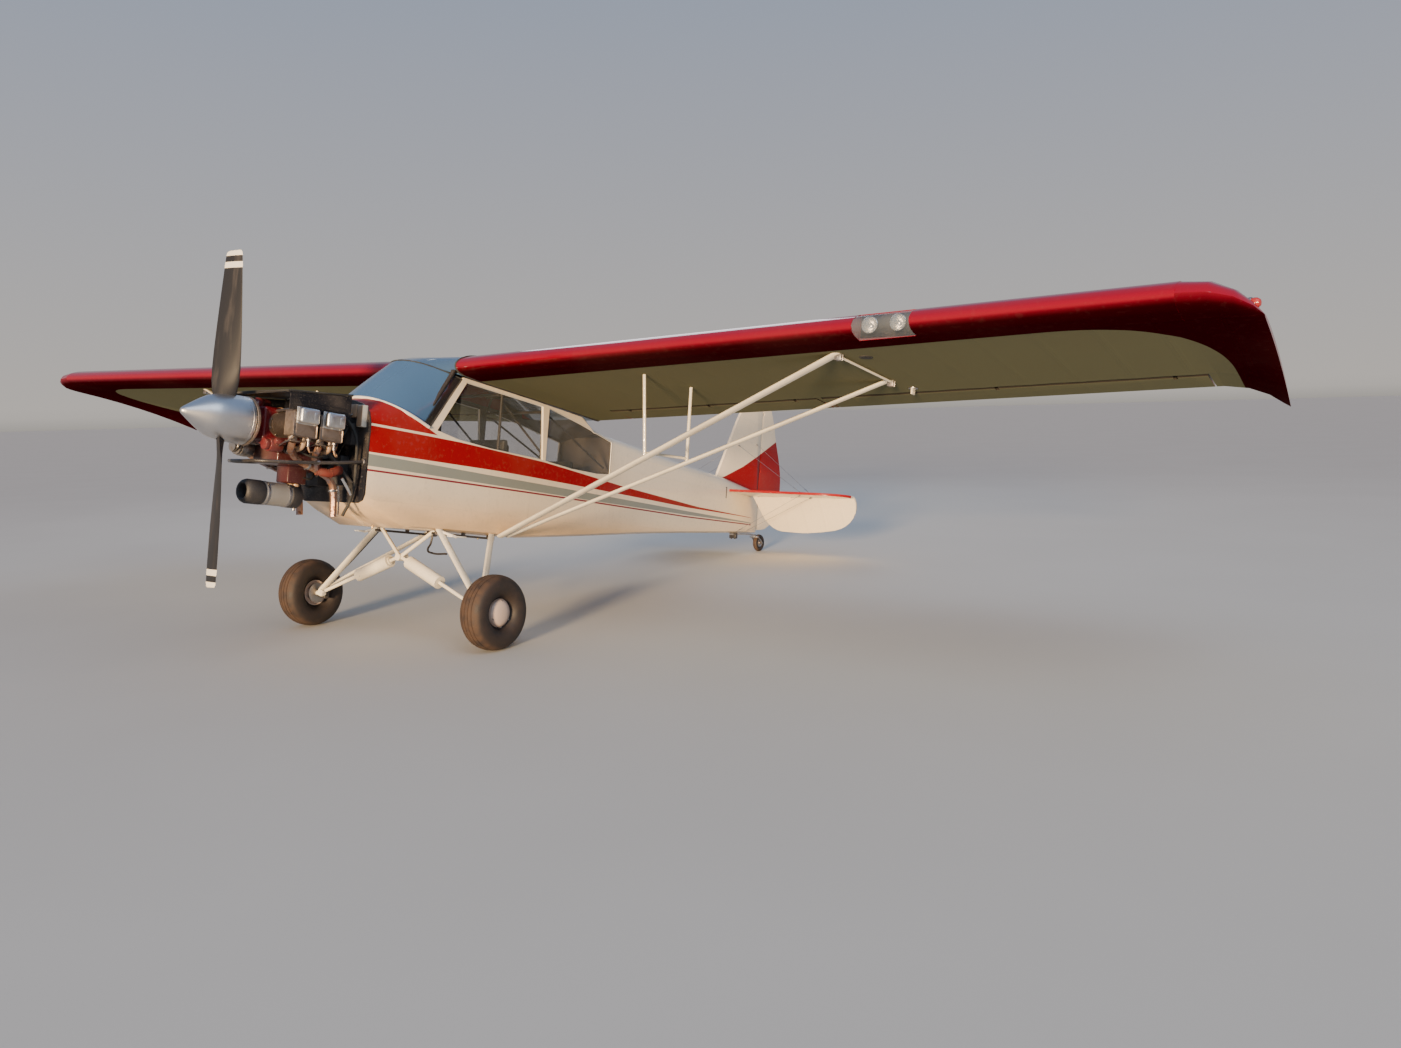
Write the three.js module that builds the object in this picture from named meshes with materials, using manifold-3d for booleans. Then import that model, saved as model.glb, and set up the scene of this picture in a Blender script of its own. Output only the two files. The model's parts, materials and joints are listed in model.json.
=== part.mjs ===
// A two-seat high-wing light aircraft with a tail wheel and an open engine, parked on its gear.
// Millimetres. +X is the port wing, +Y runs aft, +Z is up.
// The airframe is laid out level, with the origin on the thrust line under the wing's leading
// edge, and is then pitched nose-up onto its three wheels.
import * as THREE from 'three';
import { mergeVertices } from 'three/addons/utils/BufferGeometryUtils.js';
import Module from 'manifold-3d';

const wasm = await Module();
wasm.setup();

// Driving dimensions
const GAP = 0.3;
const WALL = 22;
const FIREWALL_Y = -650;
const CABIN_REAR_Y = 1900;
const TAIL_POST_Y = 4780;
const SPLIT_Z = -400;
const SILL = { y: -186, z: 126 };
const POST_TOP = { y: 90, z: 520 };
const WING = { root: 354.6, tipRib: 5000, halfSpan: 5347, chord: 1600, under: 530, slope: -0.049 };
const DIHEDRAL = Math.tan(THREE.MathUtils.degToRad(1.5));
const BAY = { wall: 1300, axisY: 1345, nose: 38, flap: [700, 2500], aileron: [2530, 4960] };
const PROP = { y: -1476, radius: 1016, lean: -0.035 };
const SPINNER = { tip: -1742, back: -1345, radius: 147 };
const RING_GEAR = { rear: -1319, radius: 150, bore: 72 };
const STARTER = { x: 150, z: -133, radius: 42, front: -1290, rear: -1175 };
const ALTERNATOR = { x: -150, z: -146, radius: 56, front: -1280, rear: -1175 };
const MAGNETO = { x: 68, z: 28, radius: 40, rear: -676 };
const BAFFLE = { halfWidth: 338, sheet: 8, front: -1264, rear: -824, low: 80, top: 190, rise: 44 };
const WHEEL = { radius: 250, width: 205, rim: 92, sides: 40 };
const AXLE = new THREE.Vector3(945, -37, -1075);
const AXLE_RADIUS = 18;
const TAIL_WHEEL = { radius: 92, width: 52, rim: 45, sides: 24, y: 4900, trail: 88 };
const TAIL_WHEEL_Z = -346;
const GEAR_FITTINGS = [{ x: 305, y: 15 }, { x: 305, y: 536 }];
const CABANE = new THREE.Vector3(0, -37, -762);
const STABILISER = { z: 137, front: 4000, hinge: 4552, tip: 1290, thick: 24 };
const ELEVATOR_DROOP = THREE.MathUtils.degToRad(52);
const RUDDER_AXIS_Y = 4800;
const CYLINDER_Y = [-1160, -972];

const PAINT = {
  cream: { color: '#e9e4d6', roughness: 0.38, metalness: 0.0 },
  red: { color: '#9c0f24', roughness: 0.3, metalness: 0.0 },
  steel: { color: '#8d8f90', roughness: 0.45, metalness: 0.8 },
  bright: { color: '#c9c9c6', roughness: 0.3, metalness: 0.9 },
  dark: { color: '#22252c', roughness: 0.55, metalness: 0.2 },
  copper: { color: '#9a6b4c', roughness: 0.5, metalness: 0.7 },
  engineRed: { color: '#8c1d1f', roughness: 0.5, metalness: 0.2 },
  rubber: { color: '#2a2422', roughness: 0.85, metalness: 0.0 },
  glass: { color: '#bcd0da', roughness: 0.08, metalness: 0.0 },
  leather: { color: '#1d1c1d', roughness: 0.7, metalness: 0.0 },
};

const v = (x, y, z) => new THREE.Vector3(x, y, z);
const underWing = (x, y) => WING.under + WING.slope * y + DIHEDRAL * x;

// Solids

function solid(geometry) {
  const bare = geometry.clone();
  bare.deleteAttribute('normal');
  bare.deleteAttribute('uv');
  const merged = mergeVertices(bare, 1e-3);
  const index = merged.index.array;
  const triangles = [];
  for (let i = 0; i < index.length; i += 3) {
    const [a, b, c] = [index[i], index[i + 1], index[i + 2]];
    if (a !== b && b !== c && c !== a) triangles.push(a, b, c);
  }
  const vertProperties = new Float32Array(merged.attributes.position.array);
  const mesh = new wasm.Mesh({ numProp: 3, vertProperties, triVerts: new Uint32Array(triangles) });
  return new wasm.Manifold(mesh);
}

function geometryOf(body) {
  const mesh = body.getMesh();
  const geometry = new THREE.BufferGeometry();
  geometry.setAttribute('position', new THREE.BufferAttribute(mesh.vertProperties, 3));
  geometry.setIndex(new THREE.BufferAttribute(mesh.triVerts, 1));
  geometry.computeVertexNormals();
  return geometry;
}

const join = (...bodies) => bodies.flat().reduce((sum, body) => sum.add(body));

function box(x0, x1, y0, y1, z0, z1) {
  const geometry = new THREE.BoxGeometry(x1 - x0, y1 - y0, z1 - z0);
  return solid(geometry.translate((x0 + x1) / 2, (y0 + y1) / 2, (z0 + z1) / 2));
}

// A round bar from a to b, tapering from one radius to another.
function rod(a, b, radius, sides = 10, endRadius = radius) {
  const length = a.distanceTo(b);
  const geometry = new THREE.CylinderGeometry(endRadius, radius, length, sides);
  const turn = new THREE.Quaternion().setFromUnitVectors(v(0, 1, 0), b.clone().sub(a).normalize());
  geometry.applyQuaternion(turn);
  const middle = a.clone().add(b).multiplyScalar(0.5);
  return solid(geometry.translate(middle.x, middle.y, middle.z));
}

// A streamlined bar from a to b whose long section side lies fore and aft.
function foil(a, b, chord, thick, sides = 12) {
  const along = b.clone().sub(a).normalize();
  const across = v(0, 1, 0).cross(along).normalize();
  const aft = along.clone().cross(across).normalize();
  const geometry = new THREE.CylinderGeometry(1, 1, a.distanceTo(b), sides);
  const middle = a.clone().add(b).multiplyScalar(0.5);
  const place = new THREE.Matrix4().makeBasis(
    across.multiplyScalar(thick / 2), along, aft.negate().multiplyScalar(chord / 2));
  if (place.determinant() < 0) place.scale(v(-1, 1, 1));
  place.setPosition(middle);
  return solid(geometry.applyMatrix4(place));
}

// Triangles that fill a ring lying across one of the axes, turning the same way as the ring.
function filled(ring) {
  const size = new THREE.Box3().setFromPoints(ring).getSize(v(0, 0, 0));
  const [a, b] = size.x < 1e-6 ? ['y', 'z'] : size.y < 1e-6 ? ['z', 'x'] : ['x', 'y'];
  const flat = ring.map(p => new THREE.Vector2(p[a], p[b]));
  const turn = Math.sign(THREE.ShapeUtils.area(flat));
  return THREE.ShapeUtils.triangulateShape(flat, []).map(face => {
    const same = Math.sign(THREE.ShapeUtils.area(face.map(i => flat[i]))) === turn;
    return same ? face : face.reverse();
  });
}

// A solid through rings of points; every ring has the same number of points.
function loft(rings) {
  const count = rings[0].length;
  const points = rings.flat();
  const index = [];
  for (let r = 0; r + 1 < rings.length; r++) {
    for (let i = 0; i < count; i++) {
      const j = (i + 1) % count;
      const [a, b, c, d] = [r * count + i, r * count + j, (r + 1) * count + j, (r + 1) * count + i];
      index.push(a, b, c, a, c, d);
    }
  }
  const start = (rings.length - 1) * count;
  for (const [i, j, k] of filled(rings[0])) index.push(k, j, i);
  for (const [i, j, k] of filled(rings[rings.length - 1])) index.push(start + i, start + j, start + k);
  const geometry = new THREE.BufferGeometry().setFromPoints(points);
  geometry.setIndex(index);
  const body = solid(geometry);
  if (body.volume() > 0) return body;
  geometry.setIndex(index.reverse());
  return solid(geometry);
}

// A sheet of even thickness through a grid of points.
function sheet(grid, thick) {
  const rows = grid.length;
  const columns = grid[0].length;
  const offset = [];
  for (let r = 0; r < rows; r++) {
    for (let c = 0; c < columns; c++) {
      const along = grid[Math.min(r + 1, rows - 1)][c].clone().sub(grid[Math.max(r - 1, 0)][c]);
      const across = grid[r][Math.min(c + 1, columns - 1)].clone().sub(grid[r][Math.max(c - 1, 0)]);
      offset.push(grid[r][c].clone().add(along.cross(across).normalize().multiplyScalar(thick)));
    }
  }
  const points = [...grid.flat(), ...offset];
  const index = [];
  const face = (a, b, c, d) => index.push(a, b, c, a, c, d);
  const at = (r, c, side) => side * rows * columns + r * columns + c;
  for (let r = 0; r + 1 < rows; r++) {
    for (let c = 0; c + 1 < columns; c++) {
      face(at(r, c, 0), at(r, c + 1, 0), at(r + 1, c + 1, 0), at(r + 1, c, 0));
      face(at(r, c, 1), at(r + 1, c, 1), at(r + 1, c + 1, 1), at(r, c + 1, 1));
    }
  }
  for (let c = 0; c + 1 < columns; c++) {
    face(at(0, c, 1), at(0, c + 1, 1), at(0, c + 1, 0), at(0, c, 0));
    face(at(rows - 1, c, 0), at(rows - 1, c + 1, 0), at(rows - 1, c + 1, 1), at(rows - 1, c, 1));
  }
  for (let r = 0; r + 1 < rows; r++) {
    face(at(r, 0, 0), at(r + 1, 0, 0), at(r + 1, 0, 1), at(r, 0, 1));
    face(at(r, columns - 1, 1), at(r + 1, columns - 1, 1), at(r + 1, columns - 1, 0), at(r, columns - 1, 0));
  }
  const geometry = new THREE.BufferGeometry().setFromPoints(points);
  geometry.setIndex(index);
  const body = solid(geometry);
  if (body.volume() > 0) return body;
  geometry.setIndex(index.reverse());
  return solid(geometry);
}

// An outline in the side view (y, z), pushed through from x0 to x1.
function slab(shape, x0, x1, curveSteps = 6) {
  const options = { depth: x1 - x0, bevelEnabled: false, curveSegments: curveSteps };
  const geometry = new THREE.ExtrudeGeometry(shape, options);
  const place = new THREE.Matrix4().makeBasis(v(0, 1, 0), v(0, 0, 1), v(1, 0, 0));
  return solid(geometry.applyMatrix4(place).translate(x0, 0, 0));
}

const outline = points => new THREE.Shape(points.map(([a, b]) => new THREE.Vector2(a, b)));

// An outline in the plan view (x, y), raised from z0 to z1.
function plate(shape, z0, z1, curveSteps = 6) {
  const options = { depth: z1 - z0, bevelEnabled: false, curveSegments: curveSteps };
  return solid(new THREE.ExtrudeGeometry(shape, options).translate(0, 0, z0));
}

// A round tube that follows a smooth curve through the points.
function pipe(points, radius, steps = 16, sides = 8) {
  const ring = new THREE.Shape();
  for (let i = 0; i < sides; i++) {
    const angle = i / sides * 2 * Math.PI;
    const [x, y] = [radius * Math.cos(angle), radius * Math.sin(angle)];
    if (i === 0) ring.moveTo(x, y);
    else ring.lineTo(x, y);
  }
  ring.closePath();
  const path = new THREE.CatmullRomCurve3(points);
  return solid(new THREE.ExtrudeGeometry(ring, { steps, extrudePath: path, bevelEnabled: false }));
}

// A turned shape about the X axis; the profile is a list of [x, radius].
function turned(profile, sides, phase = 0) {
  const points = profile.map(([x, radius]) => new THREE.Vector2(radius, x));
  const geometry = new THREE.LatheGeometry(points, sides, phase, 2 * Math.PI);
  const body = solid(geometry.rotateZ(-Math.PI / 2));
  if (body.volume() > 0) return body;
  geometry.setIndex(Array.from(geometry.index.array).reverse());
  return solid(geometry);
}

function moved(body, x, y, z) {
  return solid(geometryOf(body).translate(x, y, z));
}

function mirrored(body) {
  const geometry = geometryOf(body).scale(-1, 1, 1);
  geometry.setIndex(Array.from(geometry.index.array).reverse());
  return solid(geometry);
}

// Leans a shape that was laid out without dihedral so that it follows the wing.
function onWing(body) {
  const lean = new THREE.Matrix4().set(1, 0, 0, 0, 0, 1, 0, 0, DIHEDRAL, 0, 1, 0, 0, 0, 0, 1);
  return solid(geometryOf(body).applyMatrix4(lean));
}

const airframe = new THREE.Group();

function add(name, body, paint, group = airframe) {
  const mesh = new THREE.Mesh(geometryOf(body), new THREE.MeshStandardMaterial(paint));
  mesh.name = name;
  group.add(mesh);
  return mesh;
}

function addPair(name, body, paint) {
  add(`${name}_port`, body, paint);
  add(`${name}_starboard`, mirrored(body), paint);
}

// Fuselage sections: y, half width, bottom, shoulder, crown
const STATIONS = [
  { y: -650, w: 330, bottom: -430, shoulder: 90, crown: 250 },
  { y: -560, w: 336, bottom: -480, shoulder: 95, crown: 277 },
  { y: -350, w: 346, bottom: -566, shoulder: 110, crown: 380 },
  { y: -186, w: 352, bottom: -565, shoulder: 180, crown: 520 },
  { y: 0, w: 354, bottom: -562, shoulder: 560, crown: 640 },
  { y: 800, w: 354, bottom: -556, shoulder: 560, crown: 640 },
  { y: 1260, w: 338, bottom: -518, shoulder: 545, crown: 610 },
  { y: 1600, w: 318, bottom: -489, shoulder: 364, crown: 424 },
  { y: 1900, w: 298, bottom: -462, shoulder: 304, crown: 388 },
  { y: 2500, w: 256, bottom: -408, shoulder: 235, crown: 362 },
  { y: 3200, w: 200, bottom: -354, shoulder: 190, crown: 312 },
  { y: 3950, w: 138, bottom: -303, shoulder: 150, crown: 272 },
  { y: 4400, w: 96, bottom: -271, shoulder: 120, crown: 225 },
  { y: 4780, w: 22, bottom: -245, shoulder: 70, crown: 190 },
];

function fuselageRing(station, inset, y = station.y) {
  const w = station.w - inset;
  const low = station.bottom + inset;
  const corner = Math.min(60, w * 0.6);
  const crown = station.crown - inset;
  const rise = crown - station.shoulder;
  const half = [v(w - corner, y, low), v(w - corner * 0.3, y, low + corner * 0.3), v(w, y, low + corner)];
  for (const turn of [0, 25, 50, 72]) {
    const angle = THREE.MathUtils.degToRad(turn);
    half.push(v(w * Math.cos(angle) ** 0.7, y, station.shoulder + rise * Math.sin(angle) ** 0.9));
  }
  const other = half.map(p => v(-p.x, p.y, p.z)).reverse();
  return [...half, v(0, y, crown), ...other];
}

function between(y) {
  const next = STATIONS.findIndex(station => station.y >= y);
  if (next <= 0) return STATIONS[0];
  const [a, b] = [STATIONS[next - 1], STATIONS[next]];
  const t = (y - a.y) / (b.y - a.y);
  const mix = key => a[key] + (b[key] - a[key]) * t;
  return { y, w: mix('w'), bottom: mix('bottom'), shoulder: mix('shoulder'), crown: mix('crown') };
}

function fuselage(inset, from, to) {
  const middle = STATIONS.filter(station => station.y > from && station.y < to);
  const all = [between(from), ...middle, between(to)];
  all[0] = { ...all[0], y: from };
  return loft(all.map(station => fuselageRing(station, inset)));
}

// The windscreen's lower edge lies on this plane, and the front post on its own line.
const scuttleZ = y => SILL.z - 0.395 * (y - SILL.y);
const big = 7000;

function belowScuttle(drop = 0) {
  const shape = outline([
    [-1200, scuttleZ(-1200) - drop], [SILL.y - drop, SILL.z - drop],
    [SILL.y - drop, -big], [-1200, -big]]);
  return slab(shape, -800, 800);
}

function belowWing() {
  const slope = (POST_TOP.z - SILL.z) / (POST_TOP.y - SILL.y);
  const topY = (WING.under - GAP - SILL.z + slope * SILL.y) / (slope - WING.slope);
  const shape = outline([
    [SILL.y, -big], [SILL.y, SILL.z], [topY, underWing(0, topY) - GAP],
    [WING.chord, underWing(0, WING.chord) - GAP], [WING.chord + 1, 900], [CABIN_REAR_Y, 900],
    [CABIN_REAR_Y, -big]]);
  return slab(shape, -800, 800);
}

const WINDOWS = {
  front: [[-112, 122], [124, 496], [935, 464], [975, 56], [416, 66], [95, 86]],
  rear: [[1008, 462], [1407, 406], [1870, 320], [1872, 46], [1690, 30], [1344, 30], [1008, 54]],
  middle: [[548, 478], [935, 460], [972, 56], [548, 63]],
};
const DOOR = {
  lower: [[-100, -300], [-100, 112], [480, 100], [480, -300]],
  upper: [[-88, 128], [148, 472], [480, 462], [480, 112]],
};

// Grows or shrinks a window outline about its middle by a fixed distance.
function grown(points, distance) {
  const shape = points.map(([y, z]) => new THREE.Vector2(y, z));
  const clockwise = THREE.ShapeUtils.isClockWise(shape) ? 1 : -1;
  return shape.map((p, i) => {
    const before = shape[(i + shape.length - 1) % shape.length];
    const after = shape[(i + 1) % shape.length];
    const a = p.clone().sub(before).normalize();
    const b = after.clone().sub(p).normalize();
    const na = new THREE.Vector2(-a.y, a.x).multiplyScalar(clockwise);
    const nb = new THREE.Vector2(-b.y, b.x).multiplyScalar(clockwise);
    const sum = na.clone().add(nb);
    const step = sum.multiplyScalar(2 * distance / sum.lengthSq());
    return [p.x + step.x, p.y + step.y];
  });
}

const skin = fuselage(0, FIREWALL_Y, CABIN_REAR_Y)
  .subtract(fuselage(WALL, FIREWALL_Y - 5, CABIN_REAR_Y + 5));
const pane = fuselage(9, FIREWALL_Y, CABIN_REAR_Y)
  .subtract(fuselage(13, FIREWALL_Y - 5, CABIN_REAR_Y + 5));
const opening = (points, distance = 0) => slab(outline(grown(points, distance)), 150, 500);
const portSide = box(0.2, 800, -1200, CABIN_REAR_Y + 100, SPLIT_Z + GAP, 900);
const sides = skin.intersect(belowWing());

function buildCabin() {
  const aboveSplit = box(-800, 800, -1200, 800, SPLIT_Z + GAP, 900);
  add('boot_cowl', skin.intersect(belowScuttle(GAP)).intersect(aboveSplit), PAINT.red);
  add('belly_panel', skin.intersect(box(-800, 800, -1200, CABIN_REAR_Y + 10, -900, SPLIT_Z)), PAINT.cream);
  const deckEnd = CABIN_REAR_Y + 20;
  const deckCut = slab(outline([[1470, 900], [1470, 411], [deckEnd, 325], [deckEnd, 900]]), -800, 800);
  const wall = sides.intersect(portSide).subtract(deckCut);
  const port = wall.subtract(opening(WINDOWS.front)).subtract(opening(WINDOWS.rear));
  add('side_panel_port', port, PAINT.cream);
  const doorHole = join(opening(DOOR.lower, 5), opening(DOOR.upper, 5), box(150, 500, -80, 485, 90, 140));
  const starboard = wall.subtract(doorHole).subtract(opening(WINDOWS.middle)).subtract(opening(WINDOWS.rear));
  add('side_panel_starboard', mirrored(join(starboard, doorKnuckles(false))), PAINT.cream);
  add('turtledeck', skin.intersect(belowWing()).intersect(moved(deckCut, 0, GAP, GAP)), PAINT.cream);

  const glass = points => pane.intersect(opening(points, -GAP)).intersect(portSide);
  const frontGlass = glass(WINDOWS.front);
  add('side_window_front_port', frontGlass, PAINT.glass);
  addPair('side_window_rear', glass(WINDOWS.rear), PAINT.glass);
  add('side_window_middle_starboard', mirrored(glass(WINDOWS.middle)), PAINT.glass);

  const lower = sides.intersect(opening(DOOR.lower)).intersect(portSide);
  add('door_lower', mirrored(join(lower, doorKnuckles('lower'))), PAINT.cream);
  const upperHole = opening(DOOR.upper, -26);
  const upper = sides.intersect(opening(DOOR.upper)).intersect(portSide).subtract(upperHole);
  add('door_upper', mirrored(join(upper, doorKnuckles('upper'))), PAINT.cream);
  const doorGlass = pane.intersect(opening(DOOR.upper, -26 - GAP)).intersect(portSide);
  add('door_window', mirrored(doorGlass), PAINT.glass);
}

// Hinge knuckles on the outside of the door opening, fixed ones on the wall between the
// door's own. Columns: which door, y range, web direction.
const HINGE = { x: 361, radius: 6, web: 46, strap: 356 };
const DOOR_HINGES = [
  { door: 'lower', z: -303, up: -1, places: [0, 380] },
  { door: 'upper', z: 484, up: 1, places: [215, 430] }];

const foot = (y0, y1, z) => box(350, HINGE.x, y0, y1, z - 10, z + 10);

function doorKnuckles(door) {
  const parts = [];
  for (const { door: name, z, up, places } of DOOR_HINGES) {
    for (const y of places) {
      const fixed = door === false;
      if (!fixed && door !== name) continue;
      const ranges = fixed ? [[y - 20, y + 20]] : [[y - 40, y - 20.5], [y + 20.5, y + 40]];
      const way = fixed ? up : -up;
      for (const [y0, y1] of ranges) {
        parts.push(rod(v(HINGE.x, y0, z), v(HINGE.x, y1, z), HINGE.radius, 10));
        const [z0, z1] = way > 0 ? [z, z + HINGE.web] : [z - HINGE.web, z];
        if (fixed) parts.push(box(345, HINGE.x, y0, y1, Math.max(z0, z - 30), Math.min(z1, z + 30)));
        else parts.push(box(HINGE.strap, HINGE.x, y0, y1, z0, z1), foot(y0, y1, z + way * 35));
      }
    }
  }
  return join(parts);
}

// Where the windscreen ends and the roof begins, from the middle (s = 0) to a side (s = 1).
const roofFront = s => v(s * 346, -205 + 285 * Math.abs(s) ** 1.9, 606 - 94 * Math.abs(s) ** 2.4);

function buildWindscreen() {
  const rows = 5;
  const half = 6;
  const grid = [];
  const front = -560;
  const base = s => {
    const y = SILL.y + (front - SILL.y) * Math.cos(Math.abs(s) * Math.PI / 2) ** 0.8;
    const z = scuttleZ(y) + 2;
    const station = between(y);
    const up = Math.min(1, Math.max(0, (z - station.shoulder) / (station.crown - station.shoulder)));
    const angle = Math.asin(Math.min(1, up ** (1 / 0.9)));
    const reach = (station.w - 1) * Math.max(0, Math.cos(angle)) ** 0.7;
    const spread = (station.w - 1) * Math.sin(Math.abs(s) * Math.PI / 2) ** 0.75;
    return v(Math.sign(s) * Math.min(reach, spread), y, z);
  };
  for (let r = 0; r <= rows; r++) {
    const t = r / rows;
    const row = [];
    for (let c = -half; c <= half; c++) {
      const s = c / half;
      const point = base(s).lerp(roofFront(s), t);
      const bulge = 5 * Math.sin(Math.PI * t) * (1 - s * s);
      row.push(point.add(v(0, -bulge * 0.7, bulge * 0.7)));
    }
    grid.push(row);
  }
  return sheet(grid, 5);
}

// Wing section, as fractions of the chord: place, upper height, lower height
const SECTION = [
  [0, 0.035, 0.035], [0.012, 0.058, 0.016], [0.04, 0.078, 0.006], [0.1, 0.1, 0.001], [0.2, 0.114, 0],
  [0.34, 0.117, 0], [0.5, 0.105, 0], [0.65, 0.083, 0], [0.8125, 0.0505, 0], [1, 0.006, 0]];

function upperWing(y) {
  const place = y / WING.chord;
  const next = Math.max(1, SECTION.findIndex(([at]) => at >= place));
  const [a, b] = [SECTION[next - 1], SECTION[next]];
  const height = a[1] + (b[1] - a[1]) * (place - a[0]) / (b[0] - a[0]);
  return WING.under + WING.slope * y + height * WING.chord;
}

// One wing section; the tip sections shorten from the front, sink and droop towards the back.
function wingRing(x, { front = 0, back = 1, thin = 1, sink = 0, droop = 0 } = {}) {
  const place = t => (front + (back - front) * t) * WING.chord;
  const point = (t, height) => {
    const y = place(t);
    const low = WING.under + WING.slope * y - sink - droop * t * t;
    return v(x, y, low + height * thin * WING.chord);
  };
  const upper = SECTION.map(([t, high]) => point(t, high));
  const lower = SECTION.slice(1).reverse().map(([t, , low]) => point(t, low));
  return [...upper, ...lower];
}

// A hinge arm on the fixed part; the moving part has a notch round it and carries the pin.
function hingeArm(x, wallY, axisY, z, radius) {
  const arm = join(box(x - 6, x + 6, wallY - 12, axisY, z - radius * 0.7, z + radius * 0.7),
    rod(v(x - 6, axisY, z), v(x + 6, axisY, z), radius, 12));
  return arm.subtract(rod(v(x - 8, axisY, z), v(x + 8, axisY, z), 4.3, 10));
}

function notched(body, x, axisY, z, depth, height) {
  const notch = box(x - 11.5, x + 11.5, axisY - 90, axisY + depth, z - height, z + height);
  return body.subtract(notch).add(rod(v(x - 13, axisY, z), v(x + 13, axisY, z), 4, 10));
}

const BAY_Z = (upperWing(BAY.axisY) + underWing(0, BAY.axisY)) / 2;
const hingePlaces = ([x0, x1]) => [x0 + 180, (x0 + x1) / 2, x1 - 180];

function surfaceProfile() {
  const shape = new THREE.Shape();
  shape.absarc(BAY.axisY, BAY_Z, BAY.nose, Math.PI / 2, Math.PI * 1.5, false);
  shape.lineTo(WING.chord, underWing(0, WING.chord));
  shape.lineTo(WING.chord, underWing(0, WING.chord) + 9);
  shape.closePath();
  return shape;
}

function movingSurface(range, inset) {
  let body = slab(surfaceProfile(), range[0] + inset, range[1] - inset, 7);
  for (const x of hingePlaces(range)) body = notched(body, x, BAY.axisY, BAY_Z, 20, 60);
  return onWing(body);
}

function buildWings() {
  let wing = loft([wingRing(WING.root), wingRing(WING.tipRib - GAP)]);
  for (const [x0, x1] of [BAY.flap, BAY.aileron]) {
    wing = wing.subtract(box(x0, x1, BAY.wall, WING.chord + 50, 300, 800));
    for (const x of hingePlaces([x0, x1])) wing = wing.add(hingeArm(x, BAY.wall, BAY.axisY, BAY_Z, 13));
  }
  const lug = box(3242, 3254, 1170, 1220, underWing(0, 1200) - 42, underWing(0, 1200) + 6);
  const lampBay = box(LAMP.x0, LAMP.x1, -50, LAMP.depth, 0, 1000);
  wing = wing.add(lug);
  add('wing_port', onWing(wing.subtract(lampBay)), PAINT.red);
  add('wing_starboard', mirrored(onWing(wing)), PAINT.red);
  const tip = loft([
    wingRing(WING.tipRib),
    wingRing(5130, { front: 0.006, thin: 0.94, sink: 2, droop: 18 }),
    wingRing(5235, { front: 0.035, thin: 0.72, sink: 8, droop: 55 }),
    wingRing(5310, { front: 0.085, back: 0.998, thin: 0.42, sink: 16, droop: 100 }),
    wingRing(WING.halfSpan, { front: 0.15, back: 0.99, thin: 0.13, sink: 14, droop: 128 }),
  ]);
  addPair('wing_tip', onWing(tip), PAINT.red);
  addPair('flap', movingSurface(BAY.flap, 8), PAINT.red);
  addPair('aileron', movingSurface(BAY.aileron, 8), PAINT.red);
  const lens = loft([wingRing(LAMP.x0 + GAP), wingRing(LAMP.x1 - GAP)]);
  add('landing_light', onWing(lens.intersect(box(0, 5000, -50, LAMP.depth - GAP, 0, 1000))), PAINT.glass);
}

// The landing light's clear cover is a short length of the leading edge.
const LAMP = { x0: 3374, x1: 3705, depth: 120 };

// Struts
const STRUTS = [
  { low: v(335, 598, -556), high: v(3160, 320, 610), chord: 74, thick: 30 },
  { low: v(335, 668, -552), high: v(3200, 985, 580), chord: 56, thick: 25 },
];
const onStrut = ({ low, high }, x) => low.clone().lerp(high, (x - low.x) / (high.x - low.x));

function aboveWing() {
  const lean = new THREE.Matrix4().set(
    1, 0, 0, 0, 0, 1, 0, 0, DIHEDRAL, WING.slope, 1, WING.under - GAP, 0, 0, 0, 1);
  return solid(new THREE.BoxGeometry(6000, 3000, 800).translate(3000, 500, 400).applyMatrix4(lean));
}

const outerHull = fuselage(-GAP, FIREWALL_Y, TAIL_POST_Y);

function strutBody(strut, grow = 0) {
  return foil(strut.low, strut.high, strut.chord + grow, strut.thick + grow);
}

function buildStruts() {
  const lid = aboveWing();
  const [front, rear] = STRUTS;
  const foot = onStrut(front, 1705);
  const rearFoot = onStrut(rear, 1790);
  const jury = join(
    rod(foot, v(1690, 400, 640), 11),
    rod(rearFoot, v(1800, 800, 620), 11),
    rod(foot.clone().add(v(0, 0, 34)), rearFoot.clone().add(v(0, 0, 30)), 9));
  const braced = join(strutBody(rear), jury.subtract(strutBody(front, 0.6)));
  addPair('wing_strut_front', strutBody(front).subtract(lid).subtract(outerHull), PAINT.cream);
  addPair('wing_strut_rear', braced.subtract(lid).subtract(outerHull), PAINT.cream);
}

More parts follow.
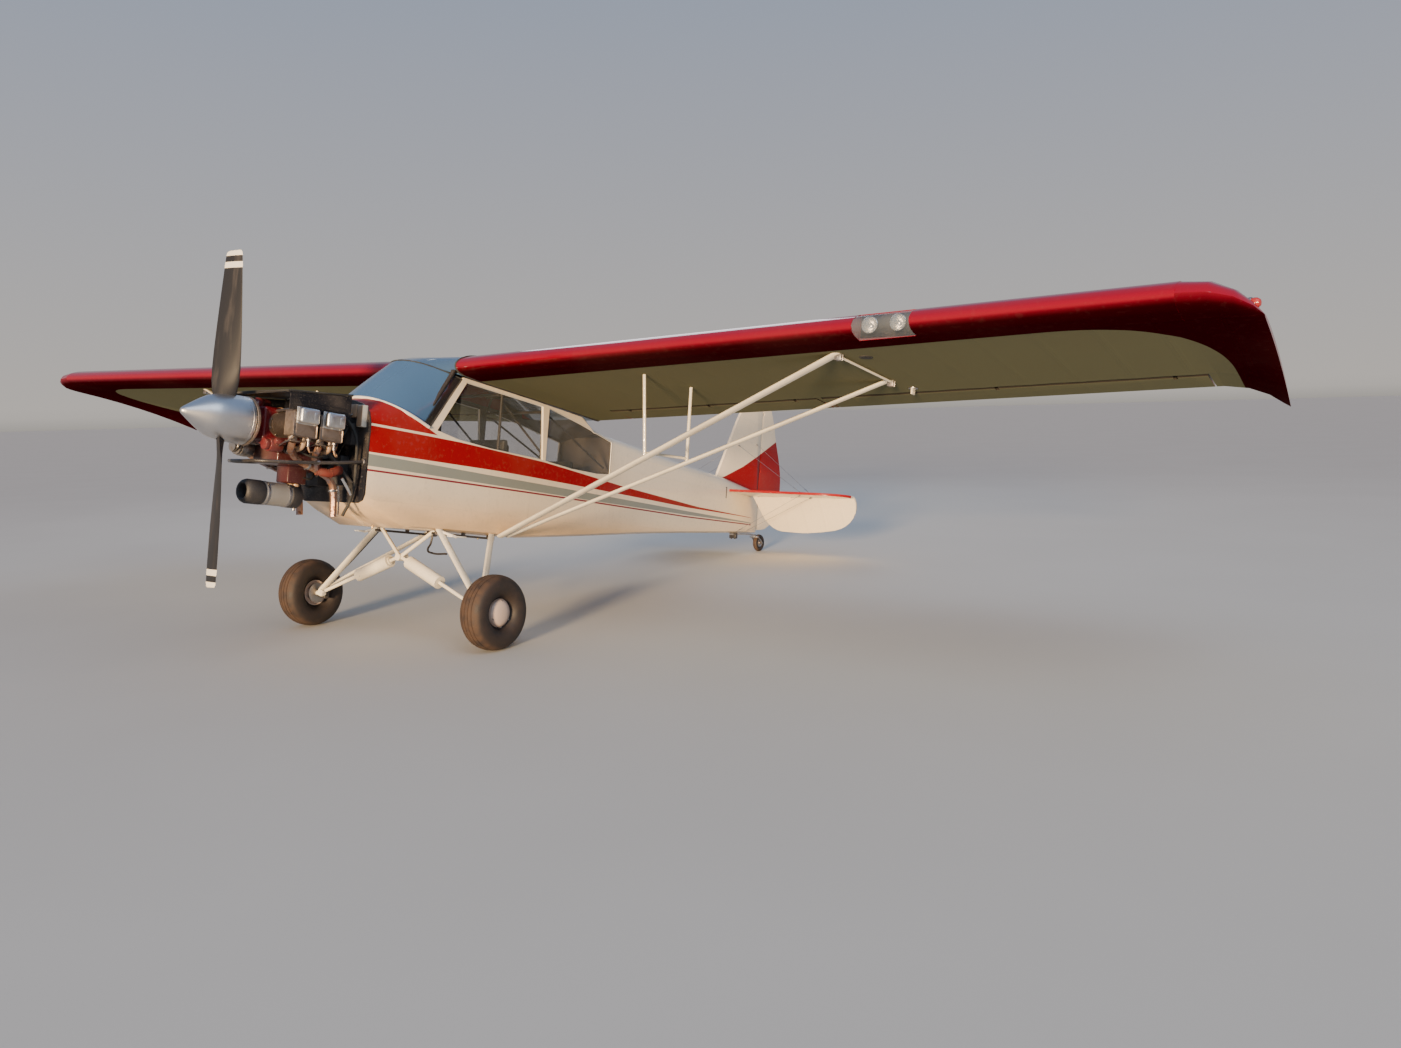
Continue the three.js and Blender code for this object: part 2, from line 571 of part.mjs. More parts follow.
// Landing gear
function buildGear() {
  const [front, rear] = GEAR_FITTINGS.map(({ x, y }) => v(x, y, between(y).bottom + 20));
  const knee = v(AXLE.x - 118, AXLE.y, AXLE.z + 22);
  const axle = rod(v(AXLE.x - 150, AXLE.y, AXLE.z), v(AXLE.x + 72, AXLE.y, AXLE.z), AXLE_RADIUS, 12);
  const leg = join(foil(front, knee, 62, 30), foil(rear, knee, 48, 26), axle,
    rod(knee.clone().add(v(-20, 0, 10)), v(AXLE.x - 108, AXLE.y, AXLE.z - 6), 30, 12));
  const shock = shockBody(0.6);
  addPair('gear_leg', leg.subtract(outerHull).subtract(shock), PAINT.cream);

  const bore = AXLE_RADIUS + 0.5;
  const hubs = turned([[-70, bore], [-70, 60], [-60, 88], [-46, WHEEL.rim], [46, WHEEL.rim], [60, 88],
    [70, 78], [84, 58], [92, 24], [92, 0], [78, 0], [78, bore], [-70, bore]], 20);
  const tyre = turned(tyreProfile(WHEEL), WHEEL.sides, Math.PI / WHEEL.sides);
  for (const [side, sign] of [['port', 1], ['starboard', -1]]) {
    const place = mesh => {
      mesh.position.set(sign * AXLE.x, AXLE.y, AXLE.z);
      mesh.rotation.x = -PITCH;
    };
    place(add(`tyre_${side}`, sign > 0 ? tyre : mirrored(tyre), PAINT.rubber));
    place(add(`hub_${side}`, sign > 0 ? hubs : mirrored(hubs), PAINT.bright));
  }

  const vee = [1, -1].map(sign => rod(v(sign * 300, 15, between(15).bottom + 20), CABANE, 14, 10));
  const cabane = join(vee, rod(v(0, -62, CABANE.z), v(0, 20, CABANE.z), 26, 12));
  const strut = shockBody(0);
  add('cabane', join(cabane, strut, mirrored(strut)).subtract(outerHull), PAINT.cream);
}

// The spring strut from the cabane to the leg, with its thick wrapped boot.
function shockBody(grow) {
  const low = v(AXLE.x - 128, AXLE.y, AXLE.z + 8);
  const high = v(20, CABANE.y, CABANE.z - 2);
  const along = (from, to) => [high.clone().lerp(low, from), high.clone().lerp(low, to)];
  const boot = rod(...along(0.1, 0.5), 46 + grow, 14);
  return join(rod(...along(0, 0.95), 13 + grow, 10), boot);
}

function tyreProfile({ radius, width, rim }) {
  const half = width / 2;
  const bead = rim + 0.4;
  const middle = (radius + bead) / 2;
  const profile = [[-half * 0.42, bead], [half * 0.42, bead]];
  const steps = 8;
  for (let i = 0; i <= steps; i++) {
    const angle = -Math.PI / 3.2 + (Math.PI + 2 * Math.PI / 3.2) * i / steps;
    profile.push([half * Math.cos(angle), middle + (radius - middle) * Math.sin(angle)]);
  }
  profile.push([-half * 0.42, bead]);
  return profile;
}

// Tail wheel, upright in the parked attitude
function buildTailWheel() {
  const group = new THREE.Group();
  group.position.set(0, TAIL_WHEEL.y, TAIL_WHEEL_Z);
  group.rotation.x = -PITCH;
  airframe.add(group);
  const { radius, width, rim, trail } = TAIL_WHEEL;
  const head = 82;
  const cheek = x => join(
    rod(v(x, 0, 0), v(x, -trail + 8, head - 6), 9, 10),
    rod(v(x - Math.sign(x) * -4, 0, 0), v(x - Math.sign(x) * 6, 0, 0), 13, 12));
  const crown = box(-48, 48, -trail - 14, -trail + 22, head - 16, head - 2);
  const pin = rod(v(0, -trail, head - 14), v(0, -trail, head + 22), 8, 12);
  const axle = rod(v(-46, 0, 0), v(46, 0, 0), 7, 10);
  add('tailwheel_fork', join(cheek(40), cheek(-40), crown, pin, axle), PAINT.steel, group);
  const profile = [[-width * 0.36, 7.6], [width * 0.36, 7.6], [width * 0.42, rim]];
  const steps = 6;
  for (let i = 0; i <= steps; i++) {
    const angle = -0.5 + (Math.PI + 1) * i / steps;
    const centre = radius - width / 2;
    profile.push([width / 2 * Math.cos(angle), centre + width / 2 * Math.sin(angle)]);
  }
  profile.push([-width * 0.42, rim], [-width * 0.36, 7.6]);
  add('tailwheel', turned(profile, TAIL_WHEEL.sides, Math.PI / TAIL_WHEEL.sides), PAINT.rubber, group);

  const toAirframe = (y, z) => v(0, TAIL_WHEEL.y + y * Math.cos(PITCH) + z * Math.sin(PITCH),
    TAIL_WHEEL_Z - y * Math.sin(PITCH) + z * Math.cos(PITCH));
  const eye = toAirframe(-trail, head + 8);
  const housing = rod(toAirframe(-trail, head), toAirframe(-trail, head + 20), 20, 14);
  const leaf = loft([[4330, -292, 26], [4500, -279, 24], [4680, -266, 21], [eye.y, eye.z, 18]].map(
    ([y, z, half]) => [v(-half, y, z - 8), v(half, y, z - 8), v(half, y, z + 7), v(-half, y, z + 7)]));
  const clamp = box(-30, 30, 4360, 4410, -330, -260);
  const hole = rod(toAirframe(-trail, head - 20), toAirframe(-trail, head + 40), 8.4, 12);
  const spring = join(leaf, housing, clamp).subtract(outerHull).subtract(hole);
  add('tail_spring', spring, PAINT.steel);
}

// Tail surfaces
function buildTail() {
  const stabiliser = stabiliserBody(0);
  const slot = stabiliserBody(0.6);
  const tube = rod(v(-200, STABILISER.hinge, STABILISER.z), v(200, STABILISER.hinge, STABILISER.z), 20, 12);
  let cone = fuselage(0, CABIN_REAR_Y + GAP, TAIL_POST_Y).subtract(slot).subtract(tube);
  for (const z of [-190, 40]) cone = cone.add(rudderArm(z));
  add('tail_cone', cone, PAINT.cream);
  add('stabiliser', stabiliser, PAINT.cream);
  add('elevator', elevatorBody(), PAINT.cream);

  const finShape = new THREE.Shape();
  finShape.moveTo(3900, 170);
  finShape.lineTo(3955, 272);
  finShape.lineTo(4139, 617);
  finShape.lineTo(4295, 912);
  finShape.quadraticCurveTo(4440, 1160, 4660, 1172);
  finShape.lineTo(TAIL_POST_Y, 1172);
  finShape.lineTo(TAIL_POST_Y, 150);
  finShape.closePath();
  let fin = slab(finShape, -14, 14).subtract(outerHull).subtract(box(-40, 40, 4480, 4630, 0, 176));
  for (const z of [420, 1040]) fin = fin.add(rudderArm(z));
  add('fin', fin, PAINT.cream);

  const rudderShape = new THREE.Shape();
  rudderShape.moveTo(RUDDER_AXIS_Y - 4, -214);
  rudderShape.lineTo(4900, -206);
  rudderShape.bezierCurveTo(5120, -190, 5262, 20, 5262, 280);
  rudderShape.bezierCurveTo(5262, 500, 5160, 640, 5080, 840);
  rudderShape.bezierCurveTo(5020, 1010, 4960, 1176, 4830, 1178);
  rudderShape.lineTo(RUDDER_AXIS_Y - 4, 1178);
  rudderShape.closePath();
  let rudder = slab(rudderShape, -12, 12, 7);
  for (const z of [-190, 40, 420, 1040]) {
    rudder = rudder.subtract(box(-30, 30, RUDDER_AXIS_Y - 20, RUDDER_AXIS_Y + 16, z - 12, z + 12));
    rudder = rudder.add(rod(v(0, RUDDER_AXIS_Y, z - 14), v(0, RUDDER_AXIS_Y, z + 14), 3.6, 10));
  }
  add('rudder', rudder, PAINT.cream);
}

function rudderArm(z) {
  const arm = join(box(-5, 5, TAIL_POST_Y - 14, RUDDER_AXIS_Y, z - 6, z + 6),
    rod(v(0, RUDDER_AXIS_Y, z - 6), v(0, RUDDER_AXIS_Y, z + 6), 9, 12));
  return arm.subtract(rod(v(0, RUDDER_AXIS_Y, z - 8), v(0, RUDDER_AXIS_Y, z + 8), 4, 10));
}

function stabiliserBody(grow) {
  const shape = new THREE.Shape();
  const { front, hinge, tip } = STABILISER;
  const rear = hinge - 24;
  shape.moveTo(-tip + 20, rear + grow / 2);
  shape.lineTo(tip - 20, rear + grow / 2);
  shape.quadraticCurveTo(tip, rear - 90, tip - 50, rear - 170);
  shape.quadraticCurveTo(tip - 110, rear - 250, tip - 240, rear - 290);
  shape.lineTo(100, front + 20 - grow);
  shape.lineTo(-100, front + 20 - grow);
  shape.lineTo(-tip + 240, rear - 290);
  shape.quadraticCurveTo(-tip + 110, rear - 250, -tip + 50, rear - 170);
  shape.quadraticCurveTo(-tip, rear - 90, -tip + 20, rear + grow / 2);
  const half = STABILISER.thick / 2 + grow / 2;
  let body = plate(shape, STABILISER.z - half, STABILISER.z + half, 5);
  if (grow > 0) return body;
  for (const x of ELEVATOR_HINGES) {
    body = body.add(hingeArm(x, rear, hinge, STABILISER.z, 10));
  }
  return body;
}

const ELEVATOR_HINGES = [-1050, -560, -170, 170, 560, 1050];

// The elevator is drawn level and then turned down about its hinge, as it hangs.
function elevatorBody() {
  const { hinge, tip, z } = STABILISER;
  const half = 11;
  let body = null;
  for (const sign of [1, -1]) {
    const shape = new THREE.Shape();
    const at = (x, y) => [sign * x, hinge + y];
    shape.moveTo(...at(100, -4));
    shape.lineTo(...at(tip - 24, -4));
    shape.quadraticCurveTo(...at(tip + 4, 60), ...at(tip - 40, 170));
    shape.quadraticCurveTo(...at(tip - 130, 350), ...at(tip - 330, 400));
    shape.quadraticCurveTo(...at(760, 442), ...at(560, 450));
    shape.lineTo(...at(330, 440));
    shape.quadraticCurveTo(...at(190, 420), ...at(150, 240));
    shape.closePath();
    let leaf = plate(shape, z - half, z + half, 5);
    for (const x of ELEVATOR_HINGES.filter(place => place * sign > 0)) {
      leaf = notched(leaf, x, hinge, z, 16, 40);
    }
    body = body ? body.add(leaf) : leaf;
  }
  const torque = rod(v(-104, hinge, z), v(104, hinge, z), 11, 12);
  const geometry = geometryOf(body.add(torque)).translate(0, -hinge, -z);
  return solid(geometry.rotateX(-ELEVATOR_DROOP).translate(0, hinge, z));
}

// Engine and propeller
function buildPropeller() {
  const profile = [];
  const length = SPINNER.back - SPINNER.tip;
  for (const t of [0, 0.04, 0.12, 0.25, 0.42, 0.62, 0.82, 1]) {
    profile.push([SPINNER.tip + length * t, SPINNER.radius * Math.sin(t * Math.PI / 2) ** 0.62]);
  }
  profile[0][1] = 0;
  const lip = SPINNER.back + 8;
  const back = [[SPINNER.back, SPINNER.radius], [lip, SPINNER.radius - 6], [lip, 0]];
  const points = [...profile.slice(0, -1), ...back].map(([y, r]) => new THREE.Vector2(r, y));
  const shell = solid(new THREE.LatheGeometry(points, 24));
  const blades = [0, Math.PI].map(turn => bladeBody(turn, 0));
  const slots = [0, Math.PI].map(turn => bladeBody(turn, 0.8));
  const hub = rod(v(0, PROP.y - 60, 0), v(0, PROP.y + 60, 0), 58, 16);
  const shaft = grow => rod(v(0, PROP.y, 0), v(0, NOSE_Y - GAP + grow, 0), 32 + grow, 14);
  const spinner = shell.subtract(join(slots, shaft(0.5)))
    .subtract(rod(v(0, PROP.y - 61, 0), v(0, PROP.y + 61, 0), 58.6, 16));
  const ringGear = rod(v(0, SPINNER.back + 8, 0), v(0, RING_GEAR.rear, 0), RING_GEAR.radius, 40)
    .subtract(rod(v(0, SPINNER.back, 0), v(0, RING_GEAR.rear + 5, 0), RING_GEAR.bore, 24));
  add('spinner', join(spinner, ringGear), PAINT.bright);
  add('propeller', join(blades, hub, shaft(0)), PAINT.dark);
}

// Blade sections: radius, chord, thickness, blade angle in degrees
const BLADE = [
  { r: 30, chord: 84, thick: 60, angle: 54 }, { r: 150, chord: 142, thick: 42, angle: 40 },
  { r: 290, chord: 186, thick: 27, angle: 25 }, { r: 520, chord: 184, thick: 18, angle: 18 },
  { r: 760, chord: 164, thick: 12, angle: 13 }, { r: 940, chord: 143, thick: 9, angle: 10 },
  { r: 1004, chord: 130, thick: 8, angle: 9 }, { r: 1016, chord: 108, thick: 7, angle: 9 }];

function bladeBody(turn, grow) {
  const rings = BLADE.map(({ r, chord, thick, angle }) => {
    const pitch = THREE.MathUtils.degToRad(angle);
    const ring = [];
    for (let i = 0; i < 10; i++) {
      const a = i / 10 * 2 * Math.PI;
      const along = (chord + grow) / 2 * Math.cos(a);
      const across = (thick + grow) / 2 * Math.sin(a);
      const x = along * Math.cos(pitch) - across * Math.sin(pitch);
      const y = along * Math.sin(pitch) + across * Math.cos(pitch);
      ring.push(v(x, y, r));
    }
    return ring;
  });
  const lean = new THREE.Matrix4().makeRotationY(turn + PROP.lean);
  return solid(geometryOf(loft(rings)).applyMatrix4(lean).translate(0, PROP.y, 0));
}

const NOSE_Y = SPINNER.back + 12;
const ENGINE = { front: -1270, rear: -800, halfWidth: 105, top: 105, bottom: -110 };

function crankcase(grow) {
  const { front, rear, halfWidth, top, bottom } = ENGINE;
  const body = box(-halfWidth - grow, halfWidth + grow, front - grow, rear + grow, bottom - grow, top + grow);
  const nose = rod(v(0, NOSE_Y, 0), v(0, front + 10, 0), 52 + grow, 16, 84 + grow);
  const rearCase = box(-130 - grow, 130 + grow, rear - 10 - grow, rear + 74 + grow, -120 - grow, 90 + grow);
  return join(body, nose, rearCase);
}

// What is bolted to the crankcase: the starter, the alternator with its pulley, two magnetos.
function accessories() {
  const bar = ({ x, z, radius, front, rear }, sides) => rod(v(x, front, z), v(x, rear, z), radius, sides);
  const bracket = ({ x, front, rear }) => box(
    Math.min(0, x), Math.max(0, x), front + 30, rear, ENGINE.bottom - 20, ENGINE.bottom + 10);
  const { x, z, radius, front } = ALTERNATOR;
  const pulley = rod(v(x, front - 22, z), v(x, front + 1, z), radius * 0.62, 16);
  const magnetos = [1, -1].map(sign => rod(
    v(sign * MAGNETO.x, ENGINE.rear + 70, MAGNETO.z), v(sign * MAGNETO.x, MAGNETO.rear, MAGNETO.z),
    MAGNETO.radius, 12));
  return join(bar(STARTER, 16), bracket(STARTER), bar(ALTERNATOR, 20), bracket(ALTERNATOR), pulley, magnetos);
}

const EXHAUST_PORT_Z = -112;
const SUMP_WIDTH = 128;

function cylinderBank() {
  const parts = [box(ENGINE.halfWidth + GAP, ENGINE.halfWidth + 12, -1242, -890, -84, 84)];
  for (const y of CYLINDER_Y) {
    const profile = [[112, 0], [112, 60]];
    for (const x of [134, 172, 210, 248]) profile.push([x, 60], [x, 76], [x + 18, 76], [x + 18, 60]);
    profile.push([280, 60], [280, 0]);
    const barrel = turned(profile, 12);
    parts.push(moved(barrel, 0, y, 0));
    parts.push(box(276, 362, y - 84, y + 84, -78, 80));
    parts.push(box(360, 412, y - 70, y + 70, -2, 100));
    parts.push(rod(v(300, y - 40, -60), v(300, y - 40, EXHAUST_PORT_Z), 26, 8));
    const bend = v(300, y + 40, -100);
    parts.push(rod(v(300, y + 40, -60), bend, 18, 8));
    parts.push(rod(bend.clone().add(v(0, 0, 10)), v(SUMP_WIDTH - 8, y + 40, -150), 16, 8));
  }
  const sumpRoom = box(0, SUMP_WIDTH + GAP, -1171, -839, -240, ENGINE.bottom);
  return join(parts).subtract(sumpRoom);
}

function buildEngine() {
  const sump = join(box(-SUMP_WIDTH, SUMP_WIDTH, -1170, -840, -236, ENGINE.bottom - GAP),
    box(-62, 62, -1040, -900, -345, -230));
  add('crankcase', join(crankcase(0), accessories()), PAINT.engineRed);
  const bank = cylinderBank();
  addPair('cylinders', bank, PAINT.steel);
  const { halfWidth, sheet: thick, front, rear, low, top, rise } = BAFFLE;
  const side = outline([[front, low + GAP], [front, top - 8], [rear, top + rise - 8], [rear, low + GAP]]);
  const cheek = slab(side, halfWidth - thick, halfWidth);
  const lid = slab(outline([[front - 12, top - 10], [front - 12, top], [rear + 10, top + rise + 10],
    [rear + 10, top + rise]]), -halfWidth, halfWidth);
  const back = box(-halfWidth, halfWidth, rear - thick, rear, 165, top + rise - 4);
  add('cooling_baffle', join(cheek, mirrored(cheek), lid, back), PAINT.dark);
  add('oil_sump', sump, PAINT.engineRed);

  const start = EXHAUST_PORT_Z - GAP;
  const exhaust = join(
    pipe([v(300, CYLINDER_Y[0] - 40, start), v(286, CYLINDER_Y[0] - 38, -146), v(236, -1150, -166),
      v(198, -1080, -206), v(188, -920, -256), v(180, -806, -310), v(176, -772, -420), v(172, -762, -530)],
    22, 14, 7),
    pipe([v(300, CYLINDER_Y[1] - 40, start), v(286, CYLINDER_Y[1] - 38, -146), v(236, -984, -166),
      v(196, -940, -245)], 22, 6, 7));
  addPair('exhaust', exhaust.subtract(box(0, 500, -1400, -800, start, 0)), PAINT.copper);

  const drum = join(
    rod(v(0, -1280, -422), v(0, -920, -422), 76, 20),
    rod(v(0, -1310, -422), v(0, -1280, -422), 58, 16));
  const neck = rod(v(0, -970, -400), v(0, -970, -345 - GAP), 30, 12);
  add('muffler_drum', join(drum, neck), PAINT.steel);

  const frame = [];
  for (const [x, z] of [[225, 165], [225, -330]]) {
    for (const sign of [1, -1]) {
      const near = v(sign * 118, -846, z > 0 ? 70 : -80);
      frame.push(rod(v(sign * x, FIREWALL_Y, z), near, 12, 6));
      frame.push(rod(near, v(sign * 90, -846, near.z), 15, 6));
    }
  }
  const bay = box(-2000, 2000, -2000, FIREWALL_Y - 12 - GAP, -900, 900);
  const mountHoop = [1, -1].map(sign => rod(v(sign * 118, -846, 70), v(sign * 118, -846, -80), 11, 6));
  const crossTop = rod(v(-225, FIREWALL_Y - 24, 165), v(225, FIREWALL_Y - 24, 165), 10, 6);
  const mount = join(frame, mountHoop, crossTop).intersect(bay).subtract(crankcase(GAP))
    .subtract(bank).subtract(mirrored(bank));
  add('engine_mount', mount, PAINT.steel);

  const rail = pipe([v(300, -660, -165), v(292, -900, -200), v(262, -1160, -228), v(150, -1312, -240),
    v(0, -1336, -243), v(-150, -1312, -240), v(-262, -1160, -228), v(-292, -900, -200),
    v(-300, -660, -165)], 12, 20, 6);
  add('cowl_rail', rail.intersect(bay), PAINT.dark);

  const plateRing = fuselageRing(STATIONS[0], 0, FIREWALL_Y - 12);
  const firewall = loft([plateRing, fuselageRing(STATIONS[0], 0, FIREWALL_Y - GAP)]);
  const boxes = join(box(244, 296, -700, -660, 60, 200), box(150, 226, -720, -660, -60, 80),
    box(-150, -40, -740, -660, -330, -150), box(30, 150, -725, -660, -320, -130));
  add('firewall', join(firewall, boxes), PAINT.dark);
}

// Cabin fittings
function buildInterior() {
  const room = fuselage(WALL + GAP, FIREWALL_Y, CABIN_REAR_Y);
  const floor = room.intersect(box(-400, 400, FIREWALL_Y + 2, 1500, -452, -440));
  const scuttle = slab(outline([[-545, scuttleZ(-545) - 26], [-545, scuttleZ(-545) - 16],
    [-300, scuttleZ(-300) - 14], [-292, 30], [-304, 30], [-312, scuttleZ(-312) - 26]]), -400, 400);
  add('instrument_panel', room.intersect(scuttle), PAINT.dark);

  const floorTop = -440 + GAP;
  const seat = (y, width, height) => {
    const base = join(
      box(-width, width, y, y + 430, -250, -170),
      box(-width, width, y + 370, y + 450, -240, height));
    const legs = [[-width + 20, y + 30], [width - 40, y + 30], [-width + 20, y + 380], [width - 40, y + 380]]
      .map(([x, place]) => box(x, x + 20, place, place + 20, floorTop, -245));
    return join(base, legs);
  };
  add('front_seat', seat(330, 200, 190), PAINT.leather);
  add('rear_seat', seat(1090, 210, 120), PAINT.leather);
  const stick = y => rod(v(0, y, -415), v(0, y + 40, -90), 11, 10);
  const base = rod(v(0, 80, -422), v(0, 1010, -422), 17, 10);
  const post = y => box(-12, 12, y, y + 40, -442, -420);
  add('cabin_floor', join(floor, base, stick(110), stick(960), post(200), post(900)), PAINT.dark);

  const side = sign => {
    const x = sign * 318;
    return [
      rod(v(x, 515, -438), v(x, 515, 492), 11, 6),
      rod(v(x, 515, 430), v(x, 985, 110), 9, 6),
      rod(v(sign * 314, 985, 60), v(sign * 314, 985, 440), 11, 6),
      rod(v(sign * 312, 1060, 400), v(sign * 282, 1800, 90), 9, 6),
      rod(v(sign * 312, 985, 400), v(sign * 312, 1062, 400), 9, 6),
    ];
  };
  const span = WING.root - GAP;
  const bars = [
    rod(v(-318, 515, 480), v(318, 515, 480), 11, 6),
    rod(v(-314, 985, 430), v(314, 985, 430), 11, 6)];
  const spars = [240, 1030].map(y => rod(v(-span, y, 575), v(span, y, 575), 16, 8));
  const ties = [1, -1].flatMap(sign => [
    rod(v(sign * 300, 515, 480), v(sign * 300, 240, 575), 9, 6),
    rod(v(sign * 300, 985, 430), v(sign * 300, 1030, 575), 9, 6)]);
  const inner = join(side(1), side(-1), bars).intersect(fuselage(WALL + GAP, FIREWALL_Y, CABIN_REAR_Y));
  const frame = join(inner, spars, ties);
  add('cabin_frame', frame, PAINT.cream);
}

// The roof starts at the windscreen and joins the wings' upper surface, with a slight crown.
function buildRoof() {
  const columns = [-1, -0.75, -0.4, 0, 0.4, 0.75, 1];
  const joinY = 160;
  const crown = 5;
  const top = (s, y) => upperWing(y) + crown * (1 - s * s) ** 2 * Math.min(1, (WING.chord - y) / 900);
  const half = WING.root - 3 * GAP;
  const inset = 8;
  const grid = [];
  for (const t of [0, 0.33, 0.66]) {
    grid.push(columns.map(s => {
      const edge = roofFront(s);
      edge.z = Math.max(edge.z, underWing(0, edge.y) + 10);
      const point = edge.clone().lerp(v(0, joinY, top(s, joinY)), t);
      const swell = 10 * Math.sin(Math.PI * t);
      return v(s * (half - inset), point.y + 6 * (1 - t), point.z + swell);
    }));
  }
  for (const y of [joinY, 320, 544, 800, 1040, 1300, WING.chord - 2]) {
    grid.push(columns.map(s => v(s * half, y, top(s, y))));
  }
  return sheet(grid, -8);
}

// Parked attitude: the nose rises until the main and tail tyres stand on one level.
const flat = (radius, sides) => radius * Math.cos(Math.PI / sides);
const mainRadius = flat(WHEEL.radius, WHEEL.sides);
const tailRadius = flat(TAIL_WHEEL.radius, TAIL_WHEEL.sides);
const reachY = TAIL_WHEEL.y - AXLE.y;
const reachZ = TAIL_WHEEL_Z - AXLE.z;
const PITCH = Math.asin((tailRadius - mainRadius) / Math.hypot(reachY, reachZ)) - Math.atan2(reachZ, reachY);

buildCabin();
add('windscreen', buildWindscreen(), PAINT.glass);
add('skylight', buildRoof(), PAINT.glass);
buildInterior();
buildWings();
buildStruts();
buildGear();
buildTailWheel();
buildTail();
buildPropeller();
buildEngine();

airframe.rotation.x = PITCH;
const aircraft = new THREE.Group();
aircraft.add(airframe);
aircraft.updateMatrixWorld(true);
const size = new THREE.Box3().setFromObject(aircraft, true);
airframe.position.set(0, -(size.min.y + size.max.y) / 2, -size.min.z);
aircraft.updateMatrixWorld(true);

export default aircraft;
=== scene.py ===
# %% [markdown]
# # A parked light aircraft
# This notebook dresses a two-seat, high-wing aircraft that stands on its three wheels with its
# cowling off. The engineering model gives every piece its place, so the first step is to load it.
# Everything after that is either a finish for one of its pieces, or a finer piece that is modelled
# here and takes the place of a plain one.

# %% Load the frame
import json
import math
from contextlib import contextmanager

import bmesh
import bpy
from mathutils import Matrix, Vector

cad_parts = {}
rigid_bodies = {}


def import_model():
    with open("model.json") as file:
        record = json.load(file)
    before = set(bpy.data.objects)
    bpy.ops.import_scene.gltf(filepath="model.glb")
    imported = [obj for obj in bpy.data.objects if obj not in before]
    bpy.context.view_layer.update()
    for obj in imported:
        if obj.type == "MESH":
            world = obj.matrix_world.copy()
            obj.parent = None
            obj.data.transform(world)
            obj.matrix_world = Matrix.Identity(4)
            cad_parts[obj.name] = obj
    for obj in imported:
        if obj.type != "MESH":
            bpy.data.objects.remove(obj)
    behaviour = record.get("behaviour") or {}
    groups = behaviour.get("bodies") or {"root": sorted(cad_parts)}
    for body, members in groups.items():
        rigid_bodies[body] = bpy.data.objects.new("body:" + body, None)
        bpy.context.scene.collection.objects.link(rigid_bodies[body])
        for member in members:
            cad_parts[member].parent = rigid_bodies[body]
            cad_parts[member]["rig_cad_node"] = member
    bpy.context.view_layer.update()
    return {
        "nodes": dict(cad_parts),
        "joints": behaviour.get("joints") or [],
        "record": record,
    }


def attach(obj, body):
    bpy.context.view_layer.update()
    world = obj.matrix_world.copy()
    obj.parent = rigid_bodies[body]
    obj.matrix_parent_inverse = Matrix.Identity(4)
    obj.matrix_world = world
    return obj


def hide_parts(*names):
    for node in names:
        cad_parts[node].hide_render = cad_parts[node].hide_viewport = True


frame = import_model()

print("pieces in the frame:", len(frame["nodes"]))

# %% [markdown]
# ## Two ways of standing
# A tail-wheel aircraft leans back on the ground, but its makers draw it level, with the propeller's
# thrust line flat. Stripes, windows and ribs are all straight in that level drawing. So pieces are
# modelled level, with the origin on the thrust line under the wing's leading edge, and `LEAN`
# carries them into the parked attitude. Both come from the propeller's shaft in the frame.

# %% The level drawing and the lean
def joint(name):
    return next(j for j in frame["joints"] if j["name"] == name)


SHAFT = Vector(joint("propeller_spin")["pos_m"])
SHAFT_AXIS = Vector(joint("propeller_spin")["axis"])
PROP_Y = -1.476
PITCH = -math.atan2(SHAFT_AXIS.z, -SHAFT_AXIS.y)
TURN = Matrix.Rotation(PITCH, 4, "X")
ORIGIN = SHAFT - TURN @ Vector((0, PROP_Y, 0))
LEAN = Matrix.Translation(ORIGIN) @ TURN
UNLEAN = LEAN.inverted()
print("the aircraft leans back by", round(-math.degrees(PITCH), 1), "degrees")

# %% [markdown]
# ## The camera
# The photograph was taken by someone standing ahead of the port wheel, with a wide phone lens held
# at eye height and tipped down a little. A camera needs a place, three angles and a lens, and a
# wide lens close up is what makes the near wing loom so large.

# %% Camera
CAMERA_PLACE = (5.9785, -7.0360, 1.5210)
CAMERA_TURN, CAMERA_TILT, CAMERA_ROLL = 33.85, -5.92, -1.49
CAMERA_LENS = 27.81

bpy.ops.object.camera_add(location=CAMERA_PLACE)
camera = bpy.context.object
camera.name = "view_from_the_grass"
camera.rotation_euler = (
    Matrix.Rotation(math.radians(CAMERA_TURN), 3, "Z")
    @ Matrix.Rotation(math.radians(90 + CAMERA_TILT), 3, "X")
    @ Matrix.Rotation(math.radians(CAMERA_ROLL), 3, "Z")).to_euler()
camera.data.lens = CAMERA_LENS
bpy.context.scene.camera = camera
print("camera height:", CAMERA_PLACE[2], "m")

# %% [markdown]
# ## Floor and light
# A plain pale floor keeps the eye on the aircraft. The light is a studio's version of a low
# evening sun: a warm one from dead ahead with a soft edge, a wide cool lamp high on the port side,
# and a pale surround that the glossy paint and the windows can mirror. The surround is darker
# below the horizon, as grass would be, so that the undersides keep their depth.

# %% Floor, lamps and surround
LAMP_TARGET = Vector((0, -1, 1))
SKY_STRENGTH = 0.62


def only(piece=None):
    """Leaves edit mode and selects this piece alone."""
    if bpy.context.mode != "OBJECT":
        bpy.ops.object.mode_set(mode="OBJECT")
    bpy.ops.object.select_all(action="DESELECT")
    if piece:
        piece.select_set(True)
        bpy.context.view_layer.objects.active = piece


def lamp(name, kind, place, power, colour):
    """A lamp that points at the middle of the aircraft."""
    only()
    bpy.ops.object.light_add(type=kind, location=place)
    light = bpy.context.object
    light.name = name
    light.rotation_euler = (LAMP_TARGET - Vector(place)).to_track_quat("-Z", "Y").to_euler()
    light.data.energy, light.data.color = power, colour
    return light.data


